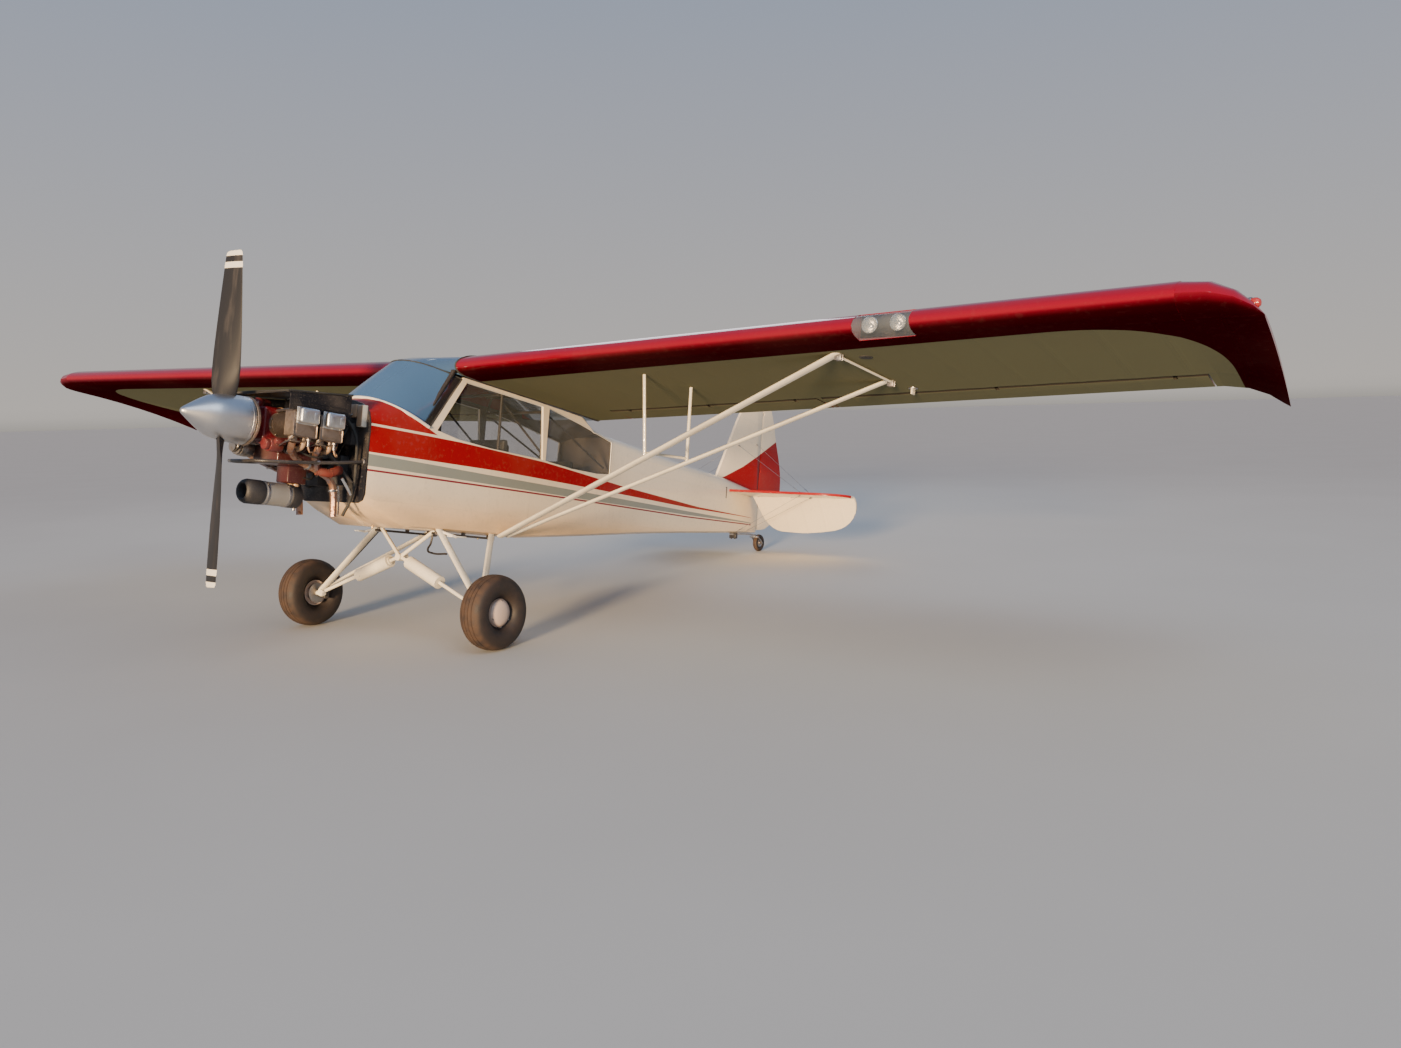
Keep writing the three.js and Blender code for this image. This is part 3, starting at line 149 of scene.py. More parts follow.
def fill(tree, node, sockets):
    """Sets a node's sockets to values, or wires them to other nodes' sockets."""
    for key, value in sockets.items():
        if isinstance(value, bpy.types.NodeSocket):
            tree.links.new(value, node.inputs[key])
        else:
            node.inputs[key].default_value = value


def added(tree, kind, settings=None, sockets=None):
    """A new node with its settings made and its sockets filled."""
    node = tree.nodes.new(kind)
    for key, setting in (settings or {}).items():
        setattr(node, key, setting)
    fill(tree, node, sockets or {})
    return node


lamp("evening_sun", "SUN", (4.2, -15, 2.9), 9, (1, 0.7, 0.4)).angle = math.radians(9)
lamp("sky_lamp", "AREA", (9, -6, 11), 420, (0.8, 0.9, 1)).size = 8
lamp("back_lamp", "AREA", (-6, 9, 8), 300, (0.92, 0.95, 1)).size = 6

only()
bpy.ops.mesh.primitive_circle_add(vertices=96, radius=900, fill_type="NGON")
floor = bpy.context.object
floor.name = "floor"

world = bpy.data.worlds.new("studio")
bpy.context.scene.world = world
world.use_nodes = True
sky = world.node_tree
direction = added(sky, "ShaderNodeTexCoord").outputs["Generated"]
upward = added(sky, "ShaderNodeSeparateXYZ", None, {0: direction}).outputs["Z"]
height = added(sky, "ShaderNodeMath", {"operation": "MULTIPLY_ADD"}, {0: upward, 1: 0.5, 2: 0.5})
ramp = added(sky, "ShaderNodeValToRGB", None, {0: height.outputs[0]})
bands = ramp.color_ramp.elements
bands[0].position, bands[0].color = 0.49, (0.3, 0.29, 0.26, 1)
bands[1].position, bands[1].color = 0.8, (0.3, 0.47, 0.8, 1)
bands.new(0.505).color = (0.88, 0.82, 0.76, 1)
fill(sky, sky.nodes["Background"], {"Color": ramp.outputs[0], "Strength": SKY_STRENGTH})

# %% [markdown]
# ## Shader sums in Python
# Every finish here is worked out by nodes. Wiring them one by one hides the idea, so `Value` wraps
# one output socket and lets it be added, multiplied and compared like a number. `Finish` makes the
# material, hands out patterns as Values, and writes the results into the shader.

# %% Value and Finish
class Value:
    """One number or colour in a material, usable in Python sums."""

    def __init__(self, finish, socket):
        self.finish, self.socket = finish, socket

    def __rsub__(self, other):
        return self.finish.math("SUBTRACT", other, self)

    def __abs__(self):
        return self.finish.math("ABSOLUTE", self)

    def above(self, edge, soft=0.0015):
        """0 below the edge and 1 above it, over a soft border."""
        if isinstance(edge, Value):
            return (self - edge).above(0, soft)
        return self.finish.node("ShaderNodeMapRange", {"interpolation_type": "SMOOTHSTEP"},
                                {"Value": self, "From Min": edge - soft, "From Max": edge + soft})

    def below(self, edge, soft=0.0015):
        return 1 - self.above(edge, soft)

    def within(self, low, high, soft=0.0015):
        return self.above(low, soft) * self.below(high, soft)

    def every(self, pitch):
        """Distance to the nearest multiple of the pitch."""
        return self.finish.math("PINGPONG", self, pitch / 2)


for method, operation in {"__add__": "ADD", "__radd__": "ADD", "__sub__": "SUBTRACT", "__pow__": "POWER",
                          "__mul__": "MULTIPLY", "__rmul__": "MULTIPLY", "__truediv__": "DIVIDE",
                          "least": "MINIMUM", "most": "MAXIMUM"}.items():
    setattr(Value, method, lambda a, b, operation=operation: a.finish.math(operation, a, b))

SOCKETS = {"colour": "Base Color", "rough": "Roughness", "metal": "Metallic", "coat": "Coat Weight",
           "coat_rough": "Coat Roughness", "specular": "Specular IOR Level", "alpha": "Alpha",
           "normal": "Normal"}


class Finish:
    """A material whose patterns are placed in metres, in the level drawing."""

    made = {}

    def __init__(self, name, base, **looks):
        self.material = bpy.data.materials.new(name)
        self.material.use_nodes = True
        self.tree = self.material.node_tree
        level = {"Vector": self.node("ShaderNodeTexCoord", output="Object"),
                 "Location": ORIGIN, "Rotation": (PITCH, 0, 0)}
        self.level = self.node("ShaderNodeMapping", {"vector_type": "TEXTURE"}, level)
        self.height = None
        self.set(colour=(*base, 1), **looks)
        Finish.made[name] = self

    def set(self, **looks):
        """Sets or wires the shader's sockets, by their short names in SOCKETS."""
        fill(self.tree, self.tree.nodes["Principled BSDF"],
             {SOCKETS[key]: getattr(value, "socket", value) for key, value in looks.items()})

    def node(self, kind, settings=None, sockets=None, output=0):
        sockets = {key: getattr(value, "socket", value) for key, value in (sockets or {}).items()}
        return Value(self, added(self.tree, kind, settings, sockets).outputs[output])

    def math(self, operation, *numbers):
        return self.node("ShaderNodeMath", {"operation": operation}, dict(enumerate(numbers)))

    def mix(self, mask, a, b):
        """Colour a where the mask is 0, and colour b where it is 1."""
        a, b = [(*c, 1) if isinstance(c, tuple) else c for c in (a, b)]
        return self.node("ShaderNodeMix", {"data_type": "RGBA"}, {0: mask, 6: a, 7: b}, output=2)

    def parts(self, where=None):
        """The x, y and z of a place."""
        split = self.node("ShaderNodeSeparateXYZ", None, {0: where or self.level})
        return [Value(self, split.socket.node.outputs[i]) for i in range(3)]

    def facing(self):
        """The surface's direction on the piece itself, x, y and z."""
        return self.parts(self.node("ShaderNodeTexCoord", output="Normal"))

    def stretched(self, x, y, z):
        """A place whose patterns are drawn out along the axes with small factors."""
        return self.node("ShaderNodeMapping", {"vector_type": "POINT"},
                         {"Vector": self.level, "Scale": (x, y, z)})

    def noise(self, size, detail=3, where=None):
        """Cloudy values from 0 to 1 whose patches are about this many metres across."""
        return self.node("ShaderNodeTexNoise", None,
                         {"Vector": where or self.level, "Scale": 1 / size, "Detail": detail})

    def bump(self, height, distance=0.001, strength=1):
        """Raises the surface by up to this distance, on top of earlier bumps."""
        sockets = {"Height": height, "Distance": distance, "Strength": strength}
        if self.height:
            sockets["Normal"] = self.height
        self.height = self.node("ShaderNodeBump", None, sockets)
        self.set(normal=self.height)

    def wear(self, colour, grime=(0.25, 0.21, 0.17), amount=0.25, size=0.5):
        """Uneven dirt over a colour, in soft patches and fine specks."""
        patches = self.noise(size, 5).above(0.56, 0.14)
        specks = self.noise(size / 25, 2).above(0.62, 0.08)
        return self.mix((patches * 0.7 + specks * 0.5) * amount, colour, grime)


PALE = (0.58, 0.57, 0.53)
floor_paint = Finish("pale_floor", PALE, rough=0.9)
floor_paint.set(colour=floor_paint.mix(floor_paint.noise(1.5, 4), PALE, (0.53, 0.52, 0.48)))
floor.data.materials.append(floor_paint.material)
print("finishes so far:", list(Finish.made))

# %% [markdown]
# ## Bench tools
# Modelling by hand means: add a primitive, go into edit mode, select something, and run an
# operator on it. These few helpers do just that, and each later piece is a short run of them.

# %% Bench tools
SELECT_MODE = {"verts": "VERT", "edges": "EDGE", "faces": "FACE"}


@contextmanager
def editing(piece):
    """Edit mode with everything selected, and back to object mode at the end."""
    only(piece)
    bpy.ops.object.mode_set(mode="EDIT")
    bpy.ops.mesh.select_all(action="SELECT")
    yield piece
    bpy.ops.object.mode_set(mode="OBJECT")


def pick(piece, kind, test):
    """In edit mode, selects the faces, edges or vertices that pass the test, and no others."""
    bpy.ops.mesh.select_mode(type=SELECT_MODE[kind])
    bpy.ops.mesh.select_all(action="DESELECT")
    mesh = bmesh.from_edit_mesh(piece.data)
    for element in getattr(mesh, kind):
        if test(element):
            element.select_set(True)
    mesh.select_flush_mode()
    bmesh.update_edit_mesh(piece.data)


def latest(name):
    """Names the piece made last and applies its place, turn and scale."""
    piece = bpy.context.object
    piece.name = name
    bpy.ops.object.transform_apply(location=True, rotation=True, scale=True)
    return piece


def block(name, low, high, bevel=0, rows=2):
    """A cube stretched between two corners, its edges rounded off."""
    low, high = Vector(low), Vector(high)
    only()
    bpy.ops.mesh.primitive_cube_add(size=1, location=(low + high) / 2, scale=high - low)
    piece = latest(name)
    if bevel:
        with editing(piece):
            bpy.ops.mesh.bevel(offset=bevel, segments=rows, affect="EDGES")
    return piece


def drum(name, start, end, radius, end_radius=None, sides=24, bevel=0):
    """A cylinder or cone from one point to another, with its rims rounded off."""
    start, end = Vector(start), Vector(end)
    along = end - start
    only()
    bpy.ops.mesh.primitive_cone_add(
        vertices=sides, radius1=radius, radius2=radius if end_radius is None else end_radius,
        depth=along.length, location=(start + end) / 2,
        rotation=along.to_track_quat("Z", "Y").to_euler())
    piece = latest(name)
    if bevel:
        with editing(piece):
            pick(piece, "edges", lambda e: any(len(f.verts) > 4 for f in e.link_faces))
            bpy.ops.mesh.bevel(offset=bevel, segments=2, affect="EDGES")
    return piece


def turned(name, profile, centre=(0, 0, 0), axis=(0, 1, 0), steps=48):
    """A lathe: one point is extruded along the profile and spun. Profile: (along, radius)."""
    axis = Vector(axis).normalized()
    out = axis.orthogonal().normalized()
    places = [Vector(centre) + axis * along + out * radius for along, radius in profile]
    only()
    bpy.ops.mesh.primitive_plane_add(size=0.001)
    piece = latest(name)
    with editing(piece):
        bpy.ops.mesh.select_mode(type="VERT")
        bpy.ops.mesh.merge(type="CENTER")
        bpy.ops.mesh.select_all(action="SELECT")
        bpy.ops.transform.translate(value=places[0])
        for here, there in zip(places, places[1:]):
            bpy.ops.mesh.extrude_vertices_move(TRANSFORM_OT_translate={"value": there - here})
        bpy.ops.mesh.select_all(action="SELECT")
        bpy.ops.mesh.spin(steps=steps, angle=2 * math.pi, center=centre, axis=axis)
        bpy.ops.mesh.select_all(action="SELECT")
        bpy.ops.mesh.remove_doubles(threshold=1e-5)
        bpy.ops.mesh.normals_make_consistent(inside=False)
    return piece


def bezier(name, operator, points, handles, closed, smoothness):
    """A curve object through the points, in place of the one that the operator adds."""
    only()
    operator()
    piece = bpy.context.object
    piece.name = name
    piece.data.splines.clear()
    route = piece.data.splines.new("BEZIER")
    route.bezier_points.add(len(points) - 1)
    for knot, point in zip(route.bezier_points, points):
        knot.co = point
        knot.handle_left_type = knot.handle_right_type = handles(point)
    route.use_cyclic_u = closed
    piece.data.resolution_u = smoothness
    return piece.data


def tube(name, points, radius, smooth=True, closed=False, sides=2):
    """A round tube along a curve through the points."""
    curve = bezier(name, bpy.ops.curve.primitive_bezier_curve_add, points,
                   lambda point: "AUTO" if smooth else "VECTOR", closed, 8 if smooth else 1)
    curve.bevel_depth = radius
    curve.bevel_resolution = sides
    curve.use_fill_caps = not closed
    bpy.ops.object.convert(target="MESH")
    return latest(name)


def joined(name, pieces):
    """Several pieces made one mesh."""
    only(pieces[0])
    for piece in pieces:
        piece.select_set(True)
    if len(pieces) > 1:
        bpy.ops.object.join()
    return latest(name)


def copied(piece, name, mirror=False, turn=None):
    """A copy with its own mesh, turned about an axis through a point, or mirrored."""
    only(piece)
    bpy.ops.object.duplicate(linked=False)
    twin = bpy.context.object
    if turn:
        angle, axis, centre = turn
        centre = Matrix.Translation(centre)
        twin.matrix_world = centre @ Matrix.Rotation(angle, 4, axis) @ centre.inverted()
    if mirror:
        twin.scale = (-1, 1, 1)
    latest(name)
    if mirror:
        with editing(twin):
            bpy.ops.mesh.flip_normals()
    return twin


def ringed(name, piece, count, axis="Y", centre=(0, 0, 0)):
    """Copies of a piece turned evenly about an axis, as one mesh."""
    return joined(name, [piece] + [copied(piece, name, turn=(2 * math.pi * i / count, axis, centre))
                                   for i in range(1, count)])


def modified(piece, kind, **settings):
    """Adds a modifier, sets it and applies it."""
    only(piece)
    modifier = piece.modifiers.new(kind.lower(), kind)
    for key, setting in settings.items():
        setattr(modifier, key, setting)
    bpy.ops.object.modifier_apply(modifier=modifier.name)


def carved(piece, cutter):
    """Cuts one piece out of another and throws the cutter away."""
    modified(piece, "BOOLEAN", operation="DIFFERENCE", solver="EXACT", object=cutter)
    bpy.data.objects.remove(cutter)
    return piece


SLOT_FOR = {  # the material slot of each paint whose own name isn't a slot
    "black_rubber": "black_plastic", "black_sheet": "dark_sheet", "black_tube": "dark_tube",
    "frame_tube": "dark_tube", "spinner_metal": "bright_metal", "ring_metal": "bright_metal",
    "rocker_metal": "bright_metal", "brass": "bright_metal", "boot_canvas": "cream_tube",
    "belt_webbing": "cream_tube", "dial_face": "black_plastic", "dial_white": "black_plastic",
    "cable_tan": "black_plastic", "duct_red": "engine_metal", "head_metal": "engine_metal",
    "grey_drum": "drum_metal", "tan_part": "drum_metal", "white_trim": "clear_plastic",
    "lamp_lens": "clear_plastic", "red_lens": "clear_plastic", "green_lens": "clear_plastic",
    "tail_tyre": "tyre", "tyre_rubber": "tyre", "hub_metal": "wheel_metal", "wing_paint": "red_fabric"}


def seat(piece, paint, *stands_for, slot=None, body="airframe", crease=35, level=True):
    """Leans a finished piece into place, paints it and hands it to its body."""
    only(piece)
    if level:
        piece.matrix_world = LEAN @ piece.matrix_world
        bpy.ops.object.transform_apply(location=True, rotation=True, scale=True)
    piece.data.materials.clear()
    piece.data.materials.append(Finish.made[paint].material)
    bpy.ops.object.shade_smooth_by_angle(angle=math.radians(crease))
    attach(piece, body)
    slot or SLOT_FOR.get(paint, paint)
    if stands_for:
        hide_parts(*stands_for)
    return piece


def fit(name, pieces, paint, *stands_for, **how):
    """Several pieces joined under one name and seated."""
    return seat(joined(name, pieces), paint, *stands_for, **how)


def both(name, pieces, paint, node, body="airframe", **how):
    """Pieces joined to port, mirrored to starboard, and seated. {} in a name is the side."""
    piece = joined(name.format("port"), pieces)
    twin = copied(piece, name.format("starboard"), mirror=True)
    for made, side in ((piece, "port"), (twin, "starboard")):
        seat(made, paint, node.format(side), body=body.format(side), **how)
    return piece, twin


BODY_OF = {node: body for body, nodes in frame["record"]["behaviour"]["bodies"].items() for node in nodes}
SLOT_OF = {part["node"]: part["material_slot"] for part in frame["record"]["subparts"]}


def dressed(node, paint, crease, bevel, rows):
    """A smooth-skinned copy of a frame piece: doubles merged, edges rounded, normals cleared."""
    piece = frame["nodes"][node].copy()
    piece.data = piece.data.copy()
    del piece["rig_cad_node"]
    piece.name = node + "_skin"
    bpy.context.scene.collection.objects.link(piece)
    with editing(piece):
        bpy.ops.mesh.customdata_custom_splitnormals_clear()
        bpy.ops.mesh.remove_doubles(threshold=2e-5)
        if bevel:
            bpy.ops.mesh.dissolve_limited(angle_limit=math.radians(1))
    if bevel:
        modified(piece, "BEVEL", width=bevel, segments=rows, limit_method="ANGLE",
                 angle_limit=math.radians(40), use_clamp_overlap=True)
    seat(piece, paint, node, slot=SLOT_OF[node], body=BODY_OF[node], crease=crease, level=False)


def level_points(node):
    """A frame piece's corners, in the level drawing."""
    return [UNLEAN @ vertex.co for vertex in frame["nodes"][node].data.vertices]


# %% [markdown]
# ## Paint on the fuselage
# The fuselage is fabric stretched over steel tube and long wooden stringers, then filled and
# painted until it shines. The stripes are sprayed along it, so each is a band between two heights
# in the level drawing, and the red ones rise a little towards the nose. A mask says how far a
# point is inside a band, and the bands are laid over the cream one by one.

# %% Fuselage livery
CREAM = (0.86, 0.745, 0.565)
SUNLIT_CREAM = (0.97, 0.64, 0.32)
RED = (0.3, 0, 0.004)
DARK_RED = (0.22, 0.012, 0.03)
GREY_GREEN = (0.25, 0.275, 0.245)
GRIME = (0.3, 0.24, 0.17)
CABIN_SHADE = (0.07, 0.058, 0.05)
SCUTTLE_Y, SCUTTLE_Z, SCUTTLE_FALL = -0.186, 0.126, 0.395
STRIPES_END = 4.62
PIN_HALF = 0.0065


def scuttle(y):
    """Height of the windscreen's foot at this y."""
    return SCUTTLE_Z - (y - SCUTTLE_Y) * SCUTTLE_FALL


def line(y, *knots):
    """Height of a line drawn along the side through a few knots of (y, z), as a Value."""
    height = knots[0][1]
    for (y0, z0), (y1, z1) in zip(knots, knots[1:]):
        part = ((y - y0) / (y1 - y0)).most(0).least(1)
        height = part * (z1 - z0) + height
    return height


def stripe(y, *heights):
    """A line whose knots stand at four fixed places and at the stripes' end."""
    return line(y, *zip((-0.6, 0.5, 1.7, 3.2, STRIPES_END), heights))


def livery(name):
    paint = Finish(name, CREAM)
    x, y, z = paint.parts()
    top = line(y, (-0.6, 0.074), (0.1, 0.071), (1, 0.042), (2.1, -0.032), (3.4, -0.088),
               (STRIPES_END, -0.097))
    red = z.above(stripe(y, -0.097, -0.085, -0.095, -0.112, -0.1)) * z.below(top)
    grey = (z.above(stripe(y, -0.187, -0.192, -0.194, -0.182, -0.158))
            * z.below(stripe(y, -0.11, -0.126, -0.136, -0.146, -0.15)))
    pin_line = line(y, (-0.6, -0.214), (1.2, -0.206), (3.2, -0.2), (STRIPES_END, -0.172))
    cowl = z.above(0.089) * z.below(scuttle(y) - 0.004) * y.below(SCUTTLE_Y + 0.13)
    side = abs(x).above(0.012) * y.below(STRIPES_END)
    deep = (red * side).most(cowl)
    low = z.below(-0.38, 0.13)
    streaks = paint.noise(0.16, 5, paint.stretched(1, 0.25, 1)).above(0.5, 0.2)
    colour = CREAM
    # Over the lower fuselage the warm orange cream is painted low sunlight on the belly; the grime streaks
    # laid over it are dirt.
    for mask, over in ((deep, RED), (grey * side, GREY_GREEN),
                       (abs(z - pin_line).below(PIN_HALF) * side, DARK_RED),
                       (low * 0.8, SUNLIT_CREAM), (streaks * low * 0.35, GRIME)):
        colour = paint.mix(mask, colour, over)
    face_x, face_y, face_z = paint.facing()
    # Faces that look into the cabin, the undersides of its roof, the tops of its floor and the rear bulkhead
    # are painted near-black and made rougher: painted shade inside the cabin.
    cabin_shade = (x * face_x).below(-0.08, 0.02).most(face_z.above(0.5, 0.05) * z.below(-0.35))
    cabin_shade = cabin_shade.most(face_z.below(-0.5, 0.05) * z.above(0.2)) * y.below(1.95) * y.above(-0.6)
    cabin_shade = cabin_shade.most(face_y.below(-0.6, 0.1) * y.within(1.6, 2.1))
    paint.set(colour=paint.mix(cabin_shade, paint.wear(colour, amount=0.16, size=0.7), CABIN_SHADE),
              coat=0.7 - deep * 0.66, coat_rough=0.12, specular=0.09,
              rough=paint.noise(0.4, 4) * 0.18 + cabin_shade * 0.4 + 0.22)
    stringers = z.every(0.115).below(0.006, 0.006) * y.above(2, 0.1) * 0.6
    tapes = y.every(0.42).below(0.018, 0.004) * 0.15 * y.above(0.2, 0.05)
    paint.bump(stringers + tapes, 0.0022)
    paint.bump(paint.noise(0.0035, 2), 0.00012, 0.5)


livery("fuselage_livery")
print("livery painted in", len(Finish.made["fuselage_livery"].tree.nodes), "nodes")

# %% [markdown]
# ## Paint on the wings
# A wing like this has a smooth metal leading edge and fabric over ribs behind it. From below, the
# fabric is white up to a border that runs behind the leading edge and sweeps round the tip; all
# the rest is a deep crimson. The border's sweep is a superellipse: two distances, each raised to a
# power, that add up to one along the line. Over each rib lies a narrow tape.

# %% Wing and tail finishes
CRIMSON = (0.2, 0, 0.012)
SHADED_CRIMSON = (0.028, 0, 0.002)
SHADED_WING_WHITE = (0.16, 0.16, 0.096)
GAP_SHADE = (0.04, 0.034, 0.028)
RIB_PITCH = 0.305
BORDER_X, BORDER_Y, BORDER_WIDE, BORDER_DEEP, BORDER_POWER = 4.3, 1.3, 0.81, 1.05, 2.5


def wing_paint(name):
    paint = Finish(name, CRIMSON)
    x, y, z = paint.parts()
    out = ((abs(x) - BORDER_X) / BORDER_WIDE).most(0) ** BORDER_POWER
    forward = ((BORDER_Y - y) / BORDER_DEEP).most(0) ** BORDER_POWER
    inside = (out + forward).below(1, 0.006)
    face_x, face_y, face_z = paint.facing()
    under, lit = face_z.below(-0.45, 0.1), face_z.above(-0.5, 0.35)
    upright = (face_z.above(-0.45, 0.1) * face_z.below(0.3, 0.1)).most(face_y.below(-0.45, 0.12))
    # Faces that turn downwards get a near-black crimson, and the white fabric under the wing a dark olive:
    # both are painted shade.
    colour = paint.mix(lit, SHADED_CRIMSON, CRIMSON)
    colour = paint.mix(inside * under, colour, SHADED_WING_WHITE)
    # Upright faces at the flap and aileron bays are painted near-black: painted shade in the gaps.
    colour = paint.mix(inside * y.within(1.2, 1.45) * upright, colour, GAP_SHADE)
    paint.set(colour=paint.wear(colour, grime=(0.16, 0.1, 0.08), amount=0.07, size=0.9),
              coat=lit * 0.9, coat_rough=0.08, specular=0,
              rough=paint.noise(0.3, 4) * 0.14 + 0.42 - lit * 0.3)
    rib = abs(x).every(RIB_PITCH)
    tape = rib.below(0.022, 0.003) * 0.25
    stitches = rib.below(0.003, 0.003) * y.every(0.05).below(0.012, 0.006) * 0.5
    spar = (y.within(0.228, 0.262, 0.003) + y.within(1.262, 1.296, 0.003)) * 0.25
    paint.bump((tape + stitches + spar) * y.above(0.06, 0.02), 0.0016)
    paint.bump(paint.noise(0.003, 2), 0.0001, 0.4)


def tail_paint(name, upright):
    """The fin and rudder carry a red wedge; the level surfaces have only a thin red front edge."""
    paint = Finish(name, CREAM)
    x, y, z = paint.parts()
    if upright:
        upper = line(y, (3.98, 0.25), (4.1, 0.285), (4.45, 0.43), (4.78, 0.6), (5.12, 0.79))
        lower = line(y, (3.98, 0.245), (4.2, 0.215), (4.52, 0.15), (4.8, 0.128))
        red = z.below(upper) * z.above(lower) * y.above(3.98)
        ribs = z.every(0.23).below(0.014, 0.003) * y.above(4.25, 0.02)
    else:
        front = {(round(p.x, 3), round(p.y, 3)) for p in level_points("stabiliser")
                 if p.y < 4.5 and p.x > 0.05}
        red = y.below(line(abs(x), *sorted(front)) + 0.016, 0.004)
        ribs = abs(x).every(0.22).below(0.014, 0.003)
    paint.set(colour=paint.wear(paint.mix(red, CREAM, RED), amount=0.14, size=0.5),
              coat=0.45 - red * 0.4, coat_rough=0.12, specular=0.12,
              rough=paint.noise(0.3, 4) * 0.16 + 0.22)
    paint.bump(ribs, 0.0016)
    paint.bump(paint.noise(0.003, 2), 0.0001, 0.4)


wing_paint("wing_paint")
tail_paint("fin_paint", upright=True)
tail_paint("stabiliser_paint", upright=False)
print("wing ribs every", RIB_PITCH, "m")

# %% [markdown]
# ## Tubes, metals and rubber
# Plain parts still need a finish with some life: runs of grime low down, chips where boots and
# stones hit, brushing that follows the lathe, heat that turns steel tan and blue. Each recipe below
# starts from one colour and breaks it up at the scale at which the real surface varies.

# %% Tube paint and plain metals
def tube_paint(name, colour, chips=0.35, under=(0.16, 0.15, 0.14), gloss=0.3):
    """Paint with chips that show what is under it."""
    paint = Finish(name, colour, coat=gloss, specular=0.1 + gloss)
    chipped = paint.noise(0.011, 3).above(0.7, 0.02) * paint.noise(0.22, 2).above(0.52, 0.06) * chips
    paint.set(colour=paint.wear(paint.mix(chipped, colour, under), amount=0.3, size=0.25),
              rough=paint.noise(0.06, 4) * 0.2 + 0.28)
    paint.bump(1 - chipped, 0.0003)


def metal(name, colour, rough, brushed=(1, 1, 1), spots=0.3, spot=(0.16, 0.13, 0.11)):
    """Bare metal with brush marks and stains."""
    paint = Finish(name, colour, metal=1)
    marks = paint.noise(0.004, 3, paint.stretched(*brushed))
    stains = paint.noise(0.05, 5).above(0.55, 0.12) * spots
    paint.set(colour=paint.mix(stains, colour, spot),
              rough=marks * 0.16 + stains * 0.25 + (rough - 0.08))
    paint.bump(marks, 0.00008)


tube_paint("cream_tube", (0.78, 0.73, 0.6))
tube_paint("black_tube", (0.022, 0.021, 0.023), chips=0.6, under=(0.22, 0.17, 0.14))
tube_paint("engine_red", (0.115, 0.002, 0.007), chips=0.5, under=(0.1, 0.08, 0.07))
tube_paint("sump_paint", (0.06, 0.012, 0.012), chips=0.8, under=(0.16, 0.11, 0.08))
tube_paint("tan_part", (0.42, 0.27, 0.16), chips=0.5)
tube_paint("black_sheet", (0.01, 0.011, 0.016), chips=0.4, under=(0.14, 0.14, 0.14), gloss=0.05)
tube_paint("white_trim", (0.82, 0.79, 0.72), chips=0.1)
tube_paint("frame_tube", (0.03, 0.025, 0.023), chips=0.2, gloss=0.1)
tube_paint("hub_metal", (0.6, 0.47, 0.4), chips=0.5, under=(0.3, 0.22, 0.18))
metal("bright_metal", (0.8, 0.79, 0.77), 0.26, brushed=(0.1, 6, 0.1), spots=0.1)
metal("rocker_metal", (0.74, 0.74, 0.73), 0.34, spots=0.25)
metal("engine_metal", (0.34, 0.325, 0.31), 0.46, spots=0.6)
metal("steel", (0.42, 0.42, 0.43), 0.38, spots=0.4, spot=(0.2, 0.11, 0.07))
metal("head_metal", (0.36, 0.29, 0.24), 0.5, spots=0.55)
metal("spinner_metal", (0.66, 0.66, 0.66), 0.36, brushed=(4, 0.15, 4), spots=0.06)
metal("ring_metal", (0.62, 0.53, 0.45), 0.42)
metal("brass", (0.62, 0.42, 0.2), 0.35)
print("plain finishes:", len(Finish.made))

# %% Heat, blades, rubber, cloth and glass
def hot_pipe(name):
    """Steel that has been red hot: tan, with straw and blue where it was hottest."""
    paint = Finish(name, (0.4, 0.24, 0.16), metal=0.85)
    colour = paint.mix(paint.noise(0.11, 4).above(0.5, 0.12), (0.44, 0.26, 0.17), (0.24, 0.19, 0.2))
    rust = paint.noise(0.02, 4).above(0.58, 0.08)
    paint.set(colour=paint.mix(rust * 0.7, colour, (0.26, 0.1, 0.045)), rough=rust * 0.3 + 0.38)
    paint.bump(rust, 0.0003)


def blade_paint(name, dark=(0.02, 0.021, 0.025)):
    """Dark paint with two pale bands at each tip, scuffed along the blade."""
    paint = Finish(name, dark, specular=0.2)
    reach = abs(paint.parts()[2])
    bands = reach.within(0.909, 0.946) + reach.above(0.984)
    scuffs = paint.noise(0.05, 5, paint.stretched(1, 1, 0.15)).above(0.58, 0.08) * 0.5
    colour = paint.mix(scuffs, dark, (0.06, 0.055, 0.055))
    paint.set(colour=paint.mix(bands, colour, (0.78, 0.76, 0.68)), rough=scuffs * 0.3 + 0.46)
    paint.bump(paint.noise(0.01, 4), 0.0002)


def tyre_rubber(name, axle, radius, rib_pitch=0.0035):
    """Old rubber: nearly black on the sidewalls, and brown with dust over the tread."""
    paint = Finish(name, (0.03, 0.025, 0.022))
    x, y, z = paint.parts()
    y, z = y - axle.y, z - axle.z
    reach = (y * y + z * z) ** 0.5 / radius
    dust = paint.noise(0.05, 5).above(0.4, 0.25) * (reach.above(0.9, 0.06) * 0.8 + 0.2)
    fine = paint.noise(0.004, 2)
    colour = paint.mix(dust, (0.012, 0.011, 0.013), (0.066, 0.038, 0.024))
    paint.set(colour=paint.mix(fine.above(0.6, 0.1) * 0.2, colour, (0.11, 0.08, 0.06)),
              rough=dust * 0.2 + 0.6)
    ribs = (reach * radius).every(rib_pitch) * reach.within(0.6, 0.76, 0.01) / rib_pitch
    paint.bump(fine + ribs, 0.0004)


def canvas(name, colour, weave=0.0022):
    """Painted canvas, with a woven bump and dirt in its folds."""
    paint = Finish(name, colour, rough=0.7)
    x, y, z = paint.parts()
    threads = (x + y + z).every(weave) + (x - y + z).every(weave)
    paint.set(colour=paint.wear(colour, amount=0.5, size=0.12))
    paint.bump(threads / weave, 0.0004)
    paint.bump(paint.noise(0.05, 3), 0.004)


